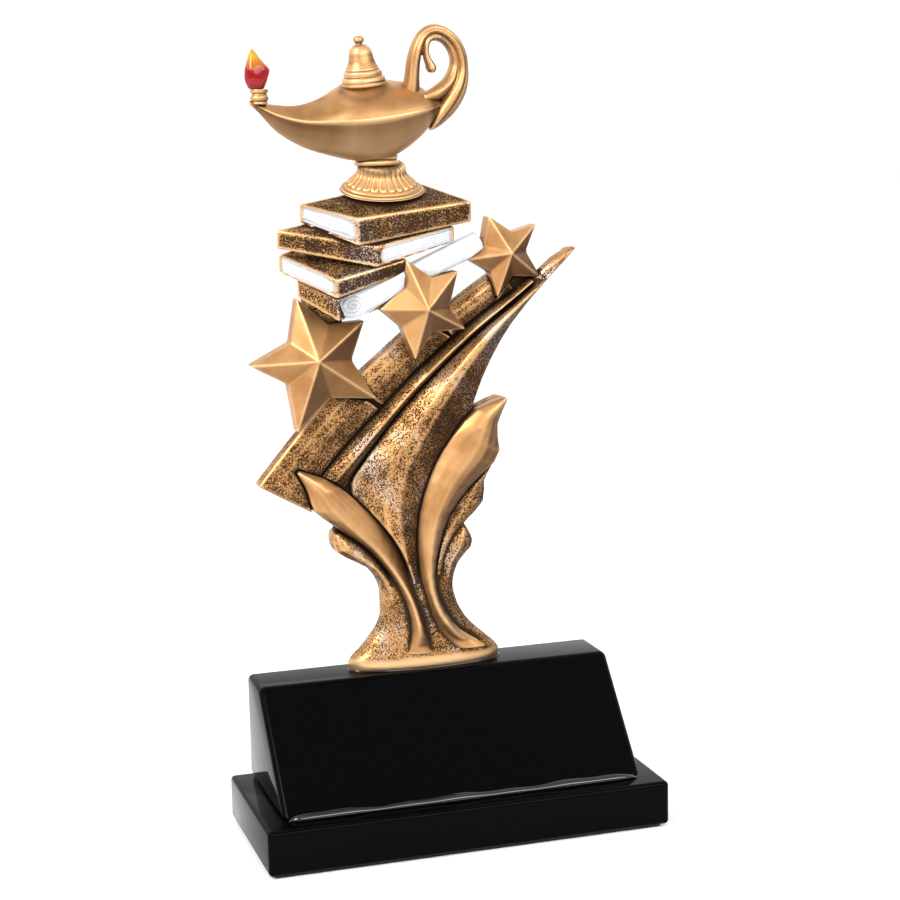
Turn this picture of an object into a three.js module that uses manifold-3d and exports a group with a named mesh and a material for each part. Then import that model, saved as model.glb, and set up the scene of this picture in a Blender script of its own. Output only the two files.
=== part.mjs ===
// Star trophy: a cast relief figure with an oil lamp on a stack of books, a paper scroll,
// three stars, curled leaves and sweeping ribbons, standing on a two-step lacquered base.
// Millimetres, +Z up, origin at the middle of the underside, the figure faces -Y.

import * as THREE from 'three';
import { mergeVertices } from 'three/addons/utils/BufferGeometryUtils.js';
import Module from 'manifold-3d';

const wasm = await Module();
wasm.setup();

// ---------------------------------------------------------------- driving sizes

const gap = 0.3;                    // clearance between neighbouring cast or cut pieces

const feltThickness = 0.8;
const feltInset = 1.6;

const plinthLength = 110;
const plinthWidth = 48;
const plinthHeight = 12;
const plinthCorner = 1.4;
const plinthEdge = 0.7;

const blockLength = 99;
const blockHeight = 28.6;
const blockFrontReveal = 5.5;       // plinth left showing in front of the block
const blockBackReveal = 1;
const blockTopWidth = 15.8;         // flat top, measured back to front
const blockEdge = 0.8;
const blockBeadSize = 1.1;          // lacquer that pooled along the foot of the block

const boltShank = 4;
const boltReach = 4;                // thread held in the foot of the casting
const boltHead = 7.4;
const boltHeadHeight = 2.6;
const washerSize = 11;
const washerThickness = 1;
const screwShank = 3;
const screwHead = 6;
const screwHeadHeight = 2;
const screwSpacing = 60;
const screwReach = 24;

const figureBackReveal = 1;         // block top left showing behind the figure
const plateBack = 1.4;              // the flat back stands this far in from the rear of the foot
const plateDepth = 6;               // front of the flat rear half of the casting
const footHalfLength = 21.6;
const footHalfDepth = 6.4;
const footHeight = 14;
const neckHalfLength = 10.6;
const neckShift = -1.2;             // the neck leans this far to the left of the foot
const footCentre = -1;

const lampSlope = 0.6;              // top faces fall towards the viewer at this rate
const lampDepth = 8;                // middle of the lamp, in front of the flat back
const bowlLeft = -44.8;
const bowlRight = 7.6;
const bowlHalfDepth = 7.4;
const bowlHeight = 15;
const deckRise = 1.2;               // crown of the top of the bowl
const bowlSeat = 1.6;               // the keel of the bowl sinks this far into the collar
const lampX = -11.2;
const lampFootBottom = 129.8;       // heights of the lamp's foot and collar above the block
const collarBottom = 136.3;
const collarTop = 139.4;
const lampFootRadius = 11.1;
const lampFootDepth = 6.6;
const lidRadius = 5.9;
const flameRadius = 3.3;

const scrollRadius = 3.2;
const scrollEndRadius = 2.5;
const scrollBore = 1.2;

const starLargeRadius = 18.6;
const starMediumRadius = 13.9;
const starSmallRadius = 11.7;

// ---------------------------------------------------------------- heights that follow

const plinthBottom = feltThickness;
const plinthTop = plinthBottom + plinthHeight;
const blockTop = plinthTop + blockHeight;
const blockFront = -plinthWidth / 2 + blockFrontReveal;
const blockBack = plinthWidth / 2 - blockBackReveal;
const blockTopFront = blockBack - blockTopWidth;
const figureBack = blockBack - figureBackReveal;
const footMiddle = figureBack - footHalfDepth;
const bowlRim = collarTop + bowlHeight - bowlSeat;

// ---------------------------------------------------------------- materials

const finish = (color, roughness, metalness) =>
  new THREE.MeshStandardMaterial({ color, roughness, metalness });

const lacquer = () => finish(0x060606, 0.12, 0);
const smoothGold = () => finish(0xc8975a, 0.38, 0.75);
const antiqueGold = () => finish(0x8a6438, 0.5, 0.6);
const white = () => finish(0xf0f2f5, 0.55, 0);
const steel = () => finish(0xb8bcc0, 0.35, 1);

// ---------------------------------------------------------------- solids

const group = new THREE.Group();
const figure = new THREE.Group();   // x to the right, y up from the block, z out of the flat back
figure.position.set(0, figureBack, blockTop);
figure.rotation.x = Math.PI / 2;
group.add(figure);

function solid(geometry) {
  const bare = geometry.clone();
  bare.deleteAttribute('normal');
  bare.deleteAttribute('uv');
  const merged = mergeVertices(bare, 1e-4);
  return new wasm.Manifold(new wasm.Mesh({
    numProp: 3,
    vertProperties: new Float32Array(merged.attributes.position.array),
    triVerts: new Uint32Array(merged.index.array),
  }));
}

function shell(body) {
  const mesh = body.getMesh();
  const geometry = new THREE.BufferGeometry();
  geometry.setAttribute('position', new THREE.BufferAttribute(mesh.vertProperties, 3));
  geometry.setIndex(new THREE.BufferAttribute(mesh.triVerts, 1));
  return geometry;
}

function place(parent, name, body, material) {
  const mesh = new THREE.Mesh(shell(body), material);
  mesh.name = name;
  parent.add(mesh);
  return mesh;
}

const carve = (body, cutters) => cutters.reduce((left, cutter) => left.subtract(cutter), body);
const join = (bodies) => bodies.reduce((all, body) => all.add(body));

// Moves every corner of a geometry through a function of its position.
function reshape(geometry, move) {
  const corner = new THREE.Vector3();
  const places = geometry.attributes.position;
  for (let i = 0; i < places.count; i += 1) {
    corner.fromBufferAttribute(places, i);
    move(corner);
    places.setXYZ(i, corner.x, corner.y, corner.z);
  }
  return geometry;
}

function box(x0, x1, y0, y1, z0, z1) {
  const geometry = new THREE.BoxGeometry(x1 - x0, y1 - y0, z1 - z0);
  geometry.translate((x0 + x1) / 2, (y0 + y1) / 2, (z0 + z1) / 2);
  return solid(geometry);
}

// A round piece about its own +Z axis, from radius and height pairs that start and end on the axis.
function turned(profile, sides = 28) {
  const points = profile.map(([radius, height]) => new THREE.Vector2(radius, height));
  const geometry = new THREE.LatheGeometry(points, sides);
  geometry.rotateX(Math.PI / 2);
  return geometry;
}

function rod(radius, z0, z1, sides = 28) {
  return turned([[0, z0], [radius, z0], [radius, z1], [0, z1]], sides);
}

const at = (geometry, x, y, z = 0) => geometry.translate(x, y, z);

// ---------------------------------------------------------------- base

function roundedRectangle(length, width, corner) {
  const [x, y] = [length / 2, width / 2];
  const shape = new THREE.Shape();
  shape.moveTo(-x + corner, -y);
  shape.lineTo(x - corner, -y);
  shape.absarc(x - corner, -y + corner, corner, -Math.PI / 2, 0);
  shape.lineTo(x, y - corner);
  shape.absarc(x - corner, y - corner, corner, 0, Math.PI / 2);
  shape.lineTo(-x + corner, y);
  shape.absarc(-x + corner, y - corner, corner, Math.PI / 2, Math.PI);
  shape.lineTo(-x, -y + corner);
  shape.absarc(-x + corner, -y + corner, corner, Math.PI, Math.PI * 1.5);
  return shape;
}

// A polygon whose corners are turned by a short curve that starts one radius before each corner.
function softCornered(points, radius) {
  const corners = points.map(([x, y]) => new THREE.Vector2(x, y));
  const toward = (from, to) => from.clone().add(to.clone().sub(from).setLength(radius));
  const shape = new THREE.Shape();
  corners.forEach((corner, index) => {
    const before = toward(corner, corners[(index + corners.length - 1) % corners.length]);
    const after = toward(corner, corners[(index + 1) % corners.length]);
    if (index === 0) shape.moveTo(before.x, before.y);
    else shape.lineTo(before.x, before.y);
    shape.quadraticCurveTo(corner.x, corner.y, after.x, after.y);
  });
  return shape;
}

// An outline raised to a height, with both rims eased inside the full size.
function eased(outline, height, edge) {
  const geometry = new THREE.ExtrudeGeometry(outline(-edge), {
    depth: height - 2 * edge,
    bevelEnabled: true,
    bevelThickness: edge,
    bevelSize: edge,
    bevelSegments: 2,
    curveSegments: 3,
  });
  return geometry.translate(0, 0, edge);
}

const boltX = footCentre;
const screwXs = [-screwSpacing / 2, screwSpacing / 2];
const recessDepth = boltHeadHeight + washerThickness + 1;
const washerSeat = plinthBottom + recessDepth;
const boltEnd = blockTop + boltReach;
const screwSeat = plinthBottom + screwHeadHeight + 1;
const screwEnd = screwSeat + screwReach;
const screwY = (blockFront + blockBack) / 2;

function boreCutters() {
  const cutters = [
    solid(at(rod(boltShank / 2 + gap, plinthBottom - 1, boltEnd + gap), boltX, footMiddle)),
    solid(at(rod(washerSize / 2 + gap, plinthBottom - 1, washerSeat), boltX, footMiddle)),
  ];
  for (const x of screwXs) {
    cutters.push(solid(at(rod(screwShank / 2 + gap, plinthBottom - 1, screwEnd + gap), x, screwY)));
    cutters.push(solid(at(rod(screwHead / 2 + gap, plinthBottom - 1, screwSeat), x, screwY)));
  }
  return cutters;
}

function makeBase() {
  const bores = boreCutters();

  const felt = new THREE.ExtrudeGeometry(
    roundedRectangle(plinthLength - 2 * feltInset, plinthWidth - 2 * feltInset, plinthCorner),
    { depth: feltThickness, bevelEnabled: false, curveSegments: 3 },
  );
  place(group, 'felt_base_pad', solid(felt), finish(0x151515, 0.95, 0));

  const slab = eased(
    (offset) => roundedRectangle(plinthLength + 2 * offset, plinthWidth + 2 * offset, plinthCorner),
    plinthHeight,
    plinthEdge,
  );
  slab.translate(0, 0, plinthBottom);
  place(group, 'plinth_slab', carve(solid(slab), bores), lacquer());

  const side = softCornered([
    [blockFront, 0], [blockBack, 0], [blockBack, blockHeight], [blockTopFront, blockHeight],
  ], blockEdge);
  const wedge = new THREE.ExtrudeGeometry(side, {
    depth: blockLength,
    bevelEnabled: false,
    curveSegments: 3,
  });
  wedge.rotateX(Math.PI / 2).rotateZ(Math.PI / 2).translate(-blockLength / 2, 0, plinthTop);
  place(group, 'sloped_block', carve(solid(wedge), bores), lacquer());

  const beadReach = blockEdge + blockBeadSize;
  const beadShape = new THREE.Shape();
  beadShape.moveTo(blockFront - blockBeadSize, 0);
  beadShape.lineTo(blockFront - gap / 2, 0);
  beadShape.lineTo(blockFront - gap / 2, blockBeadSize * 0.7);
  beadShape.quadraticCurveTo(blockFront - 0.5, 0.4, blockFront - blockBeadSize, 0.15);
  const bead = new THREE.ExtrudeGeometry(beadShape, {
    depth: blockLength - 2 * beadReach,
    bevelEnabled: false,
    curveSegments: 3,
  });
  bead.rotateX(Math.PI / 2).rotateZ(Math.PI / 2);
  bead.translate(-blockLength / 2 + beadReach, 0, plinthTop);
  place(group, 'block_lacquer_bead', solid(bead), lacquer());
}

function makeFixings() {
  const washer = solid(rod(washerSize / 2, washerSeat - washerThickness, washerSeat))
    .subtract(solid(rod(boltShank / 2 + gap, washerSeat - 2 * washerThickness, washerSeat + 1)));
  const washerMesh = place(group, 'bolt_washer', washer, steel());
  washerMesh.position.set(boltX, footMiddle, 0);

  const underWasher = washerSeat - washerThickness;
  const head = turned([
    [0, underWasher - boltHeadHeight],
    [boltHead / 2, underWasher - boltHeadHeight],
    [boltHead / 2, underWasher],
    [0, underWasher],
  ], 6);
  const bolt = solid(head).add(solid(rod(boltShank / 2, underWasher - 0.1, boltEnd)));
  const boltMesh = place(group, 'figure_bolt', bolt, steel());
  boltMesh.position.set(boltX, footMiddle, 0);

  screwXs.forEach((x, index) => {
    const screw = turned([
      [0, screwSeat - screwHeadHeight],
      [screwHead / 2, screwSeat - screwHeadHeight],
      [screwHead / 2, screwSeat],
      [screwShank / 2, screwSeat],
      [screwShank / 2, screwEnd - 4],
      [0, screwEnd],
    ], 20);
    const mesh = place(group, `block_screw_${index + 1}`, solid(screw), steel());
    mesh.position.set(x, screwY, 0);
  });
}

// ---------------------------------------------------------------- relief bands

const curve = (...points) => new THREE.SplineCurve(points.map(([x, y]) => new THREE.Vector2(x, y)));

// A band lies on the plate between two edge curves that both run from its top to its bottom.
function bandPoint(band, across, along) {
  const left = band.left.getPoint(along);
  const right = band.right.getPoint(along);
  return left.lerp(right, across);
}

function crest(band, across, along) {
  const peak = band.peak;
  const side = across < peak ? across / peak : (1 - across) / (1 - peak);
  const rise = band.round ? Math.sin(side * Math.PI / 2) : side;
  const ends = Math.min(1, 0.25 + along * 5, 0.25 + (1 - along) * 5);
  const lift = (band.flare ?? 0) * THREE.MathUtils.smoothstep(along, 0.55, 0.9);
  return band.edge + lift + band.rise * rise * ends;
}

function carvedBand(band, columns = 4) {
  const geometry = new THREE.BoxGeometry(1, 1, 1, columns, band.rows, 1);
  return solid(reshape(geometry, (p) => {
    const [across, along, front] = [p.x + 0.5, 0.5 - p.y, p.z > 0];
    const spot = bandPoint(band, across, along);
    p.set(spot.x, spot.y, front ? crest(band, across, along) : plateDepth);
  }));
}

// The straight-sided footprint of a band, widened by a margin.
function footprint(band, z0, z1, margin = 0) {
  const geometry = new THREE.BoxGeometry(1, 1, 1, 1, band.rows, 1);
  return solid(reshape(geometry, (p) => {
    const [across, along] = [p.x + 0.5, 0.5 - p.y];
    const left = band.left.getPoint(along);
    const right = band.right.getPoint(along);
    const outward = right.clone().sub(left).setLength(margin);
    const onward = new THREE.Vector2(outward.y, -outward.x);
    const spot = across > 0.5 ? right.add(outward) : left.sub(outward);
    if (along < 1e-6) spot.sub(onward);
    if (along > 1 - 1e-6) spot.add(onward);
    p.set(spot.x, spot.y, p.z > 0 ? z1 : z0);
  }));
}

const frontmost = 40;
const clearOf = (band) => footprint(band, plateDepth - 1, frontmost, gap);
const bandFoot = footHeight;

const largeSwoosh = {
  left: curve([43.6, 112.9], [30.8, 103.3], [13.4, 90.1], [-2.5, 74.7], [-14, 61.9], [-20.6, 53],
    [-18.5, 41], [-10.5, 28], [-4, bandFoot]),
  right: curve([44.2, 112.4], [34, 102.3], [24, 90.8], [17, 78.5], [12.5, 67], [7, 55], [1, 40],
    [-1, 26], [2, bandFoot]),
  rows: 22, edge: 8, rise: 5, peak: 0.42, round: false,
};
const narrowRib = {
  left: curve([33.4, 106.1], [22.1, 99.1], [10.6, 91.2], [-2.3, 80.6], [-12.3, 71.2], [-22.3, 61.6],
    [-30.5, 52.5]),
  right: curve([34.4, 105], [24, 97.4], [12.6, 88.6], [-2, 75.4], [-12.2, 64.2], [-18.4, 56.6],
    [-24, 49]),
  rows: 16, edge: 7.4, rise: 3.4, peak: 0.5, round: true,
};
const bandRight = curve([36, 108], [22.1, 98.1], [10.6, 90], [-2.3, 79.6], [-12.3, 70.6], [-22.3, 61.2],
  [-29.5, 51], [-31.8, 44.7]);
const flatBands = [
  ['upper_flat_band', curve([23, 107], [19, 105.5], [8.6, 98.6], [4, 96]), 0.1, 0.3],
  ['middle_flat_band', curve([0, 95], [-6.1, 90.2], [-13, 84.6], [-20, 79]), 0.3, 0.55],
  ['lower_flat_band', curve([-22, 79], [-31.9, 69], [-38.5, 61.6], [-46, 52.8]), 0.565, 1],
].map(([name, left, start, end]) => {
  const samples = [0, 0.2, 0.4, 0.6, 0.8, 1].map((t) => bandRight.getPoint(start + t * (end - start)));
  const right = new THREE.SplineCurve(samples);
  return { name, left, right, rows: 8, edge: 7.2, rise: 1.6, peak: 0.35, round: false };
});
const leftLeaf = {
  left: curve([-35.9, 56], [-33.2, 51], [-31.1, 45.1], [-24.6, 39.7], [-16.5, 33.2], [-9.1, 23.3],
    [-6, 13], [-6.8, 5.2]),
  right: curve([-35.3, 56.6], [-25.9, 52.6], [-16.2, 43.6], [-9.5, 34.5], [-5.7, 25.5], [-3.2, 17],
    [-1.9, 10], [-0.8, 5]),
  rows: 18, edge: 9.2, rise: 2.6, flare: 2.6, peak: 0.4, round: true,
};
const rightLeaf = {
  left: curve([22.6, 73], [13.7, 69.5], [6, 61.4], [1, 53], [-2.4, 42.7], [-3.1, 33], [-2.4, 24],
    [-0.4, 16], [3, 9.8], [6.4, 5.4]),
  right: curve([23.4, 72.2], [20.2, 65], [20.5, 56.8], [13, 49.8], [6.4, 42], [3, 33], [1.5, 24.4],
    [3, 16.8], [7.4, 10.2], [13, 6.2]),
  rows: 20, edge: 9.8, rise: 2.6, flare: 2, peak: 0.5, round: true,
};
const leftLobe = {
  left: curve([-26.2, 38.6], [-26, 34.2], [-22.5, 31.4], [-16.4, 28], [-13, 23], [-12.4, 18.5],
    [-12.6, bandFoot]),
  right: curve([-24, 38.6], [-20.8, 36.6], [-16.5, 33.2], [-11.5, 26.5], [-8.6, 21.5], [-6.8, 17.5],
    [-6, bandFoot]),
  rows: 10, edge: 8, rise: 2.4, peak: 0.4, round: true,
};
const upperRightLobe = {
  left: curve([18.6, 55.2], [12, 50.5], [7, 45.5], [3.2, 39], [0.5, 31], [0, 23], [1.6, bandFoot]),
  right: curve([19.4, 54.6], [16.8, 50], [16.4, 44.2], [10.9, 38.8], [6.4, 33.6], [4, 25.5],
    [4.6, bandFoot]),
  rows: 12, edge: 8, rise: 2.2, peak: 0.62, round: true,
};
const lowerRightLobe = {
  left: curve([9.2, 38.2], [5.4, 33.4], [3.6, 28.5], [2.8, 21.5], [3.2, bandFoot]),
  right: curve([11.4, 37.8], [13.4, 32.6], [9, 27.6], [7.2, 21], [8.2, bandFoot]),
  rows: 10, edge: 7.4, rise: 2.2, peak: 0.5, round: true,
};

// ---------------------------------------------------------------- stars

// Five arms that rise from a sharp edge to a middle point; odd corners of a ten-sided turning
// are pulled in, and the front leans by a slope along x and along y.
function star(part, margin = 0, toFront = false) {
  const reach = part.radius + margin * 2.2;
  const notch = part.radius * part.notch + margin;
  const top = part.edge + part.rise;
  const profile = toFront
    ? [[0, part.back - margin], [reach, part.back - margin], [reach, frontmost], [0, frontmost]]
    : [[0, part.back], [reach, part.back], [reach, part.edge], [0, top]];
  const geometry = turned(profile, 10).rotateZ(Math.PI / 2);
  reshape(geometry, (p) => {
    const radius = Math.hypot(p.x, p.y);
    if (radius < 1e-6) return;
    const angle = Math.atan2(p.y, p.x);
    const corner = Math.round(angle / (Math.PI / 5));
    const size = corner % 2 === 0 ? reach : notch;
    const turn = angle + part.turn;
    const [x, y] = [Math.cos(turn) * size, Math.sin(turn) * size];
    const lean = !toFront && p.z > part.back + 1e-3 ? part.leanX * x + part.leanY * y : 0;
    p.set(x, y, p.z + lean);
  });
  return solid(geometry.translate(part.x, part.y, 0));
}

const degrees = Math.PI / 180;
const stars = [
  {
    name: 'large_star', x: -29.3, y: 85.1, radius: starLargeRadius, notch: 0.5, turn: 107.9 * degrees,
    back: plateDepth, edge: 10.6, rise: 5, leanX: 0, leanY: -0.17,
  },
  {
    name: 'medium_star', x: 0, y: 98.9, radius: starMediumRadius, notch: 0.54, turn: 110.5 * degrees,
    back: 12.4, edge: 15.4, rise: 4, leanX: -0.1, leanY: 0,
  },
  {
    name: 'small_star', x: 23.5, y: 111.5, radius: starSmallRadius, notch: 0.54, turn: 113.9 * degrees,
    back: plateDepth, edge: 9.8, rise: 3.6, leanX: -0.1, leanY: 0,
  },
];
const [largeStar, mediumStar, smallStar] = stars;
const discShift = 2;                // the backing discs sit to the right, out of sight
const bossRadius = mediumStar.radius * mediumStar.notch * 0.75;
const mediumBoss = (margin) => solid(
  at(rod(bossRadius + margin, plateDepth - margin, mediumStar.back + 1), mediumStar.x, mediumStar.y),
);

// ---------------------------------------------------------------- books

// A book is set out by the four corners of its top face (x, y, z) and its height below each.
// u runs along the front right face, v along the front left face, w down through the pages.
function slab(book, [u0, u1], [v0, v1], [w0, w1], steps = 3) {
  const geometry = new THREE.BoxGeometry(1, 1, 1, steps, 1, steps);
  const corners = ['front', 'right', 'left', 'back'].map((key) => new THREE.Vector4(...book[key]));
  return solid(reshape(geometry, (p) => {
    const u = u0 + (p.x + 0.5) * (u1 - u0);
    const v = v0 + (0.5 - p.z) * (v1 - v0);
    const w = w0 + (0.5 - p.y) * (w1 - w0);
    const nearSide = corners[0].clone().lerp(corners[1], u);
    const farSide = corners[2].clone().lerp(corners[3], u);
    const spot = nearSide.lerp(farSide, v);
    p.set(spot.x, spot.y - spot.w * w, spot.z);
  }));
}

const board = 0.13;                 // cover board, as a share of a book's own height
const books = [
  {
    name: 'top_book', pagesOnLeft: true,
    front: [-19.9, 123.1, 19, 7.2], left: [-34, 127.1, 12.5, 4.8], right: [12.7, 126.4, 14, 5.6],
    back: [-0.5, 132.1, 1, 4.4],
  },
  {
    name: 'middle_book', pagesOnLeft: false,
    front: [-14.8, 115.6, 18.2, 5.4], left: [-41, 120.9, 15.5, 4.9], right: [8.1, 119.9, 13, 4.2],
    back: [-4.7, 126.4, 2, 4.6],
  },
  {
    name: 'bottom_book', pagesOnLeft: true,
    front: [-26, 107.5, 19.4, 4.9], left: [-39.7, 114.5, 12.5, 4.9], right: [-5.6, 111.9, 15, 3.6],
    back: [-20.1, 119, 3, 4.4],
  },
];
const bookSupport = {
  front: [-25.4, 102.2, 17.6, 5.6], left: [-35, 107.4, 12.4, 4.4], right: [-8, 107.8, 13.5, 8],
  back: [-19, 113.4, 6.4, 10],
};

function pageSpan(book, margin) {
  const [open, hidden, inner] = [margin > 0 ? -0.05 : 0.02, 0.92, 0.07 - margin];
  const along = [open, hidden + margin];
  const away = [inner, margin > 0 ? 1.05 : 0.97];
  return book.pagesOnLeft ? [along, away] : [away, along];
}

function makeBooks(cutters) {
  const stacked = [];
  for (const book of books) {
    const whole = slab(book, [0, 1], [0, 1], [0, 1]);
    const grown = slab(book, [-0.012, 1.012], [-0.02, 1.02], [-0.05, 1.07]);
    const [uPocket, vPocket] = pageSpan(book, 0.012);
    const pocket = slab(book, uPocket, vPocket, [board, 1 - board]);
    const [uPages, vPages] = pageSpan(book, 0);
    const pages = slab(book, uPages, vPages, [board + 0.05, 1 - board - 0.05]);
    const clear = [...cutters, ...stacked];
    place(figure, `${book.name}_cover`, carve(whole.subtract(pocket), clear), antiqueGold());
    place(figure, `${book.name}_pages`, carve(pages, clear), white());
    stacked.push(grown);
  }
  const support = slab(bookSupport, [0, 1], [0, 1], [0, 1]);
  place(figure, 'book_support', carve(support, [...cutters, ...stacked]), antiqueGold());
  return stacked;
}

// ---------------------------------------------------------------- lamp

const leanForward = (p) => p.setY(p.y - lampSlope * (p.z - lampDepth));

// A turned lamp piece: radius and height pairs, its middle, and how deep it is for its width.
function lampTurning(profile, x, depthShare, sides = 28) {
  const points = profile.map(([radius, height]) => new THREE.Vector2(radius, height));
  const geometry = new THREE.LatheGeometry(points, sides);
  geometry.scale(1, 1, depthShare);
  return solid(reshape(at(geometry, x, 0, lampDepth), leanForward));
}

function makeLamp(cutters) {
  const depthShare = lampFootDepth / lampFootRadius;
  const r = lampFootRadius;
  const foot = lampTurning([
    [0, lampFootBottom], [r - 0.5, lampFootBottom], [r, lampFootBottom + 0.5],
    [r - 0.7, lampFootBottom + 1.2], [r * 0.72, lampFootBottom + 2.8],
    [r * 0.54, collarBottom], [0, collarBottom],
  ], lampX + 1, depthShare);
  const collar = lampTurning([
    [0, collarBottom], [5.4, collarBottom], [6, collarBottom + 0.8], [5.2, collarBottom + 1.5],
    [5.7, collarBottom + 2.2], [5, collarTop], [0, collarTop],
  ], lampX - 0.2, 0.75);

  const bowl = bowlHull();
  const handleRoot = horn(gap);
  const bowlSolid = solid(bowl);
  place(figure, 'lamp_bowl', bowlSolid.subtract(handleRoot), smoothGold());
  const bowlAbove = solid(bowl.clone().translate(0, -gap, 0));
  place(figure, 'lamp_collar', collar.subtract(bowlAbove), smoothGold());
  place(figure, 'lamp_foot', carve(foot, [...cutters, bowlAbove]), smoothGold());
  place(figure, 'lamp_handle', horn(0), smoothGold());

  const lidX = -14.6;
  const lidBottom = bowlRim + deckRise + 2.6;
  const lid = lampTurning([
    [0, lidBottom - 3], [lidRadius, lidBottom - 3], [lidRadius, lidBottom + 1], [4.6, lidBottom + 3],
    [4.2, lidBottom + 5.4], [2.8, lidBottom + 10.2], [1.4, lidBottom + 11.8], [0, lidBottom + 11.8],
  ], lidX, 0.8);
  const deckBelow = solid(bowl.clone().translate(0, gap, 0));
  place(figure, 'lamp_lid', lid.subtract(deckBelow), smoothGold());
  const knobBottom = lidBottom + 11.8;
  const knob = lampTurning([
    [0, knobBottom], [0.9, knobBottom], [1, knobBottom + 0.4], [1.9, knobBottom + 1.2],
    [1.8, knobBottom + 1.9], [0.9, knobBottom + 2.6], [0, knobBottom + 2.7],
  ], lidX - 1, 0.9, 20);
  place(figure, 'lid_knob', knob, smoothGold());
}

// The bowl is lofted like a boat through evenly spaced stations, from the spout to the handle.
const stations = (...values) => new THREE.SplineCurve(
  values.map((value, index) => new THREE.Vector2(index / (values.length - 1), value)),
);
const bowlBeam = stations(0.1, 0.28, 0.43, 0.65, 0.96, 1, 0.91, 0.67, 0.1);
const bowlSheer = stations(0.4, -1.6, -2.6, -1.9, -0.5, 0.1, 0.6, 0.6, -0.8);
const bowlKeel = stations(0.05, 0.36, 0.56, 0.75, 0.93, 1, 0.89, 0.58, 0.05);

function bowlHull() {
  const hull = new THREE.CylinderGeometry(1, 1, 1, 20, 22);
  hull.rotateZ(-Math.PI / 2);
  return reshape(hull, (p) => {
    const along = p.x + 0.5;
    const drop = p.y > 0 ? deckRise * bowlBeam.getPoint(along).y : bowlHeight * bowlKeel.getPoint(along).y;
    p.set(
      THREE.MathUtils.lerp(bowlLeft, bowlRight, along),
      bowlRim + bowlSheer.getPoint(along).y + p.y * drop,
      lampDepth + p.z * bowlHalfDepth * bowlBeam.getPoint(along).y,
    );
    leanForward(p);
  });
}

// The curled handle: a round bar along a flat curve that thins towards its inner end.
function horn(grow) {
  const path = new THREE.CatmullRomCurve3([
    [4, -4], [8.6, 0.6], [11.4, 5.2], [12, 10], [10.7, 14.4], [7.6, 17.1],
    [4.2, 17.4], [1.2, 14.8], [-0.4, 10.6], [-1, 6.6], [-1.2, 3.8],
  ].map(([x, y]) => new THREE.Vector3(x, bowlRim + y, lampDepth - 1)));
  const geometry = new THREE.CylinderGeometry(1, 1, 1, 10, 22);
  return solid(reshape(geometry, (p) => {
    const along = 0.5 + p.y;
    const middle = path.getPoint(along);
    const forward = path.getTangent(along);
    const side = new THREE.Vector3(forward.y, -forward.x, 0);
    const radius = 2.1 + 1.9 * (1 - along) ** 3 + grow;
    middle.addScaledVector(side, p.x * radius);
    middle.z += p.z * (radius + 0.4);
    p.copy(middle);
  }));
}

function makeFlame() {
  const x = -42.2;
  const base = bowlRim + 0.3;
  const burner = lampTurning([
    [0, base], [1.8, base], [2.3, base + 1.2], [1.9, base + 2.3], [2.3, base + 2.8],
    [2.1, base + 3.4], [0, base + 3.4],
  ], x, 0.9, 20);
  const spoutBelow = solid(bowlHull().translate(0, gap, 0));
  place(figure, 'burner_cup', burner.subtract(spoutBelow), smoothGold());
  const flameBottom = base + 3.4;
  const split = flameBottom + 6;
  const lower = lampTurning([
    [0, flameBottom], [1.8, flameBottom], [flameRadius, flameBottom + 2.6],
    [flameRadius - 0.2, flameBottom + 4.4], [flameRadius - 0.8, split], [0, split],
  ], x, 0.9, 20);
  place(figure, 'flame_lower', lower, finish(0xb01818, 0.2, 0));
  const tip = lampTurning([
    [0, split], [flameRadius - 0.8, split], [1.4, split + 2], [0, split + 4.2],
  ], x, 0.9, 20);
  place(figure, 'flame_tip', tip, finish(0xe0a020, 0.25, 0));
}

// ---------------------------------------------------------------- scroll

const scrollStart = new THREE.Vector3(-24.2, 99.1, 15.4);
const scrollFinish = new THREE.Vector3(15, 115.3, 10.6);

function roll(margin) {
  const length = scrollStart.distanceTo(scrollFinish);
  const recess = margin > 0 ? 0 : 1.6;
  const geometry = turned([
    [0, recess], [scrollBore, recess], [scrollBore + 0.2, 0], [scrollRadius + margin, 0],
    [scrollEndRadius + margin, length], [0, length],
  ], 24);
  const turn = new THREE.Quaternion().setFromUnitVectors(
    new THREE.Vector3(0, 0, 1),
    scrollFinish.clone().sub(scrollStart).normalize(),
  );
  geometry.applyQuaternion(turn);
  return solid(geometry.translate(...scrollStart));
}

// ---------------------------------------------------------------- foot and plate

function footLoft() {
  const levels = [
    [0, footHalfLength - 1, footHalfDepth - 0.6], [0.8, footHalfLength, footHalfDepth],
    [3, footHalfLength - 0.2, footHalfDepth - 0.1], [4.2, footHalfLength - 1.4, footHalfDepth - 0.8],
    [7, footHalfLength - 4.8, footHalfDepth - 1.2], [10.4, neckHalfLength + 2.4, footHalfDepth - 0.9],
    [footHeight, neckHalfLength, footHalfDepth - 0.9],
  ];
  const profile = [[0, levels[0][0]], ...levels.map(([height, half]) => [half, height]),
    [0, footHeight]];
  const geometry = new THREE.LatheGeometry(profile.map(([x, y]) => new THREE.Vector2(x, y)), 40);
  return solid(reshape(geometry, (p) => {
    const level = levels.reduce((best, row) => (
      Math.abs(row[0] - p.y) < Math.abs(best[0] - p.y) ? row : best
    ));
    const depthShare = level[2] / level[1];
    const lean = neckShift * p.y / footHeight;
    p.set(p.x + footCentre + lean, p.y, p.z * depthShare + footHalfDepth);
  }));
}

function makeFoot() {
  const boltBore = solid(rod(boltShank / 2 + gap, -1, boltEnd + gap - blockTop));
  const upright = boltBore.rotate([-90, 0, 0]).translate([boltX, 0, footHalfDepth]);
  const cutters = [clearOf(leftLeaf), clearOf(rightLeaf), upright];
  place(figure, 'casting_foot', carve(footLoft(), cutters), smoothGold());
}

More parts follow.
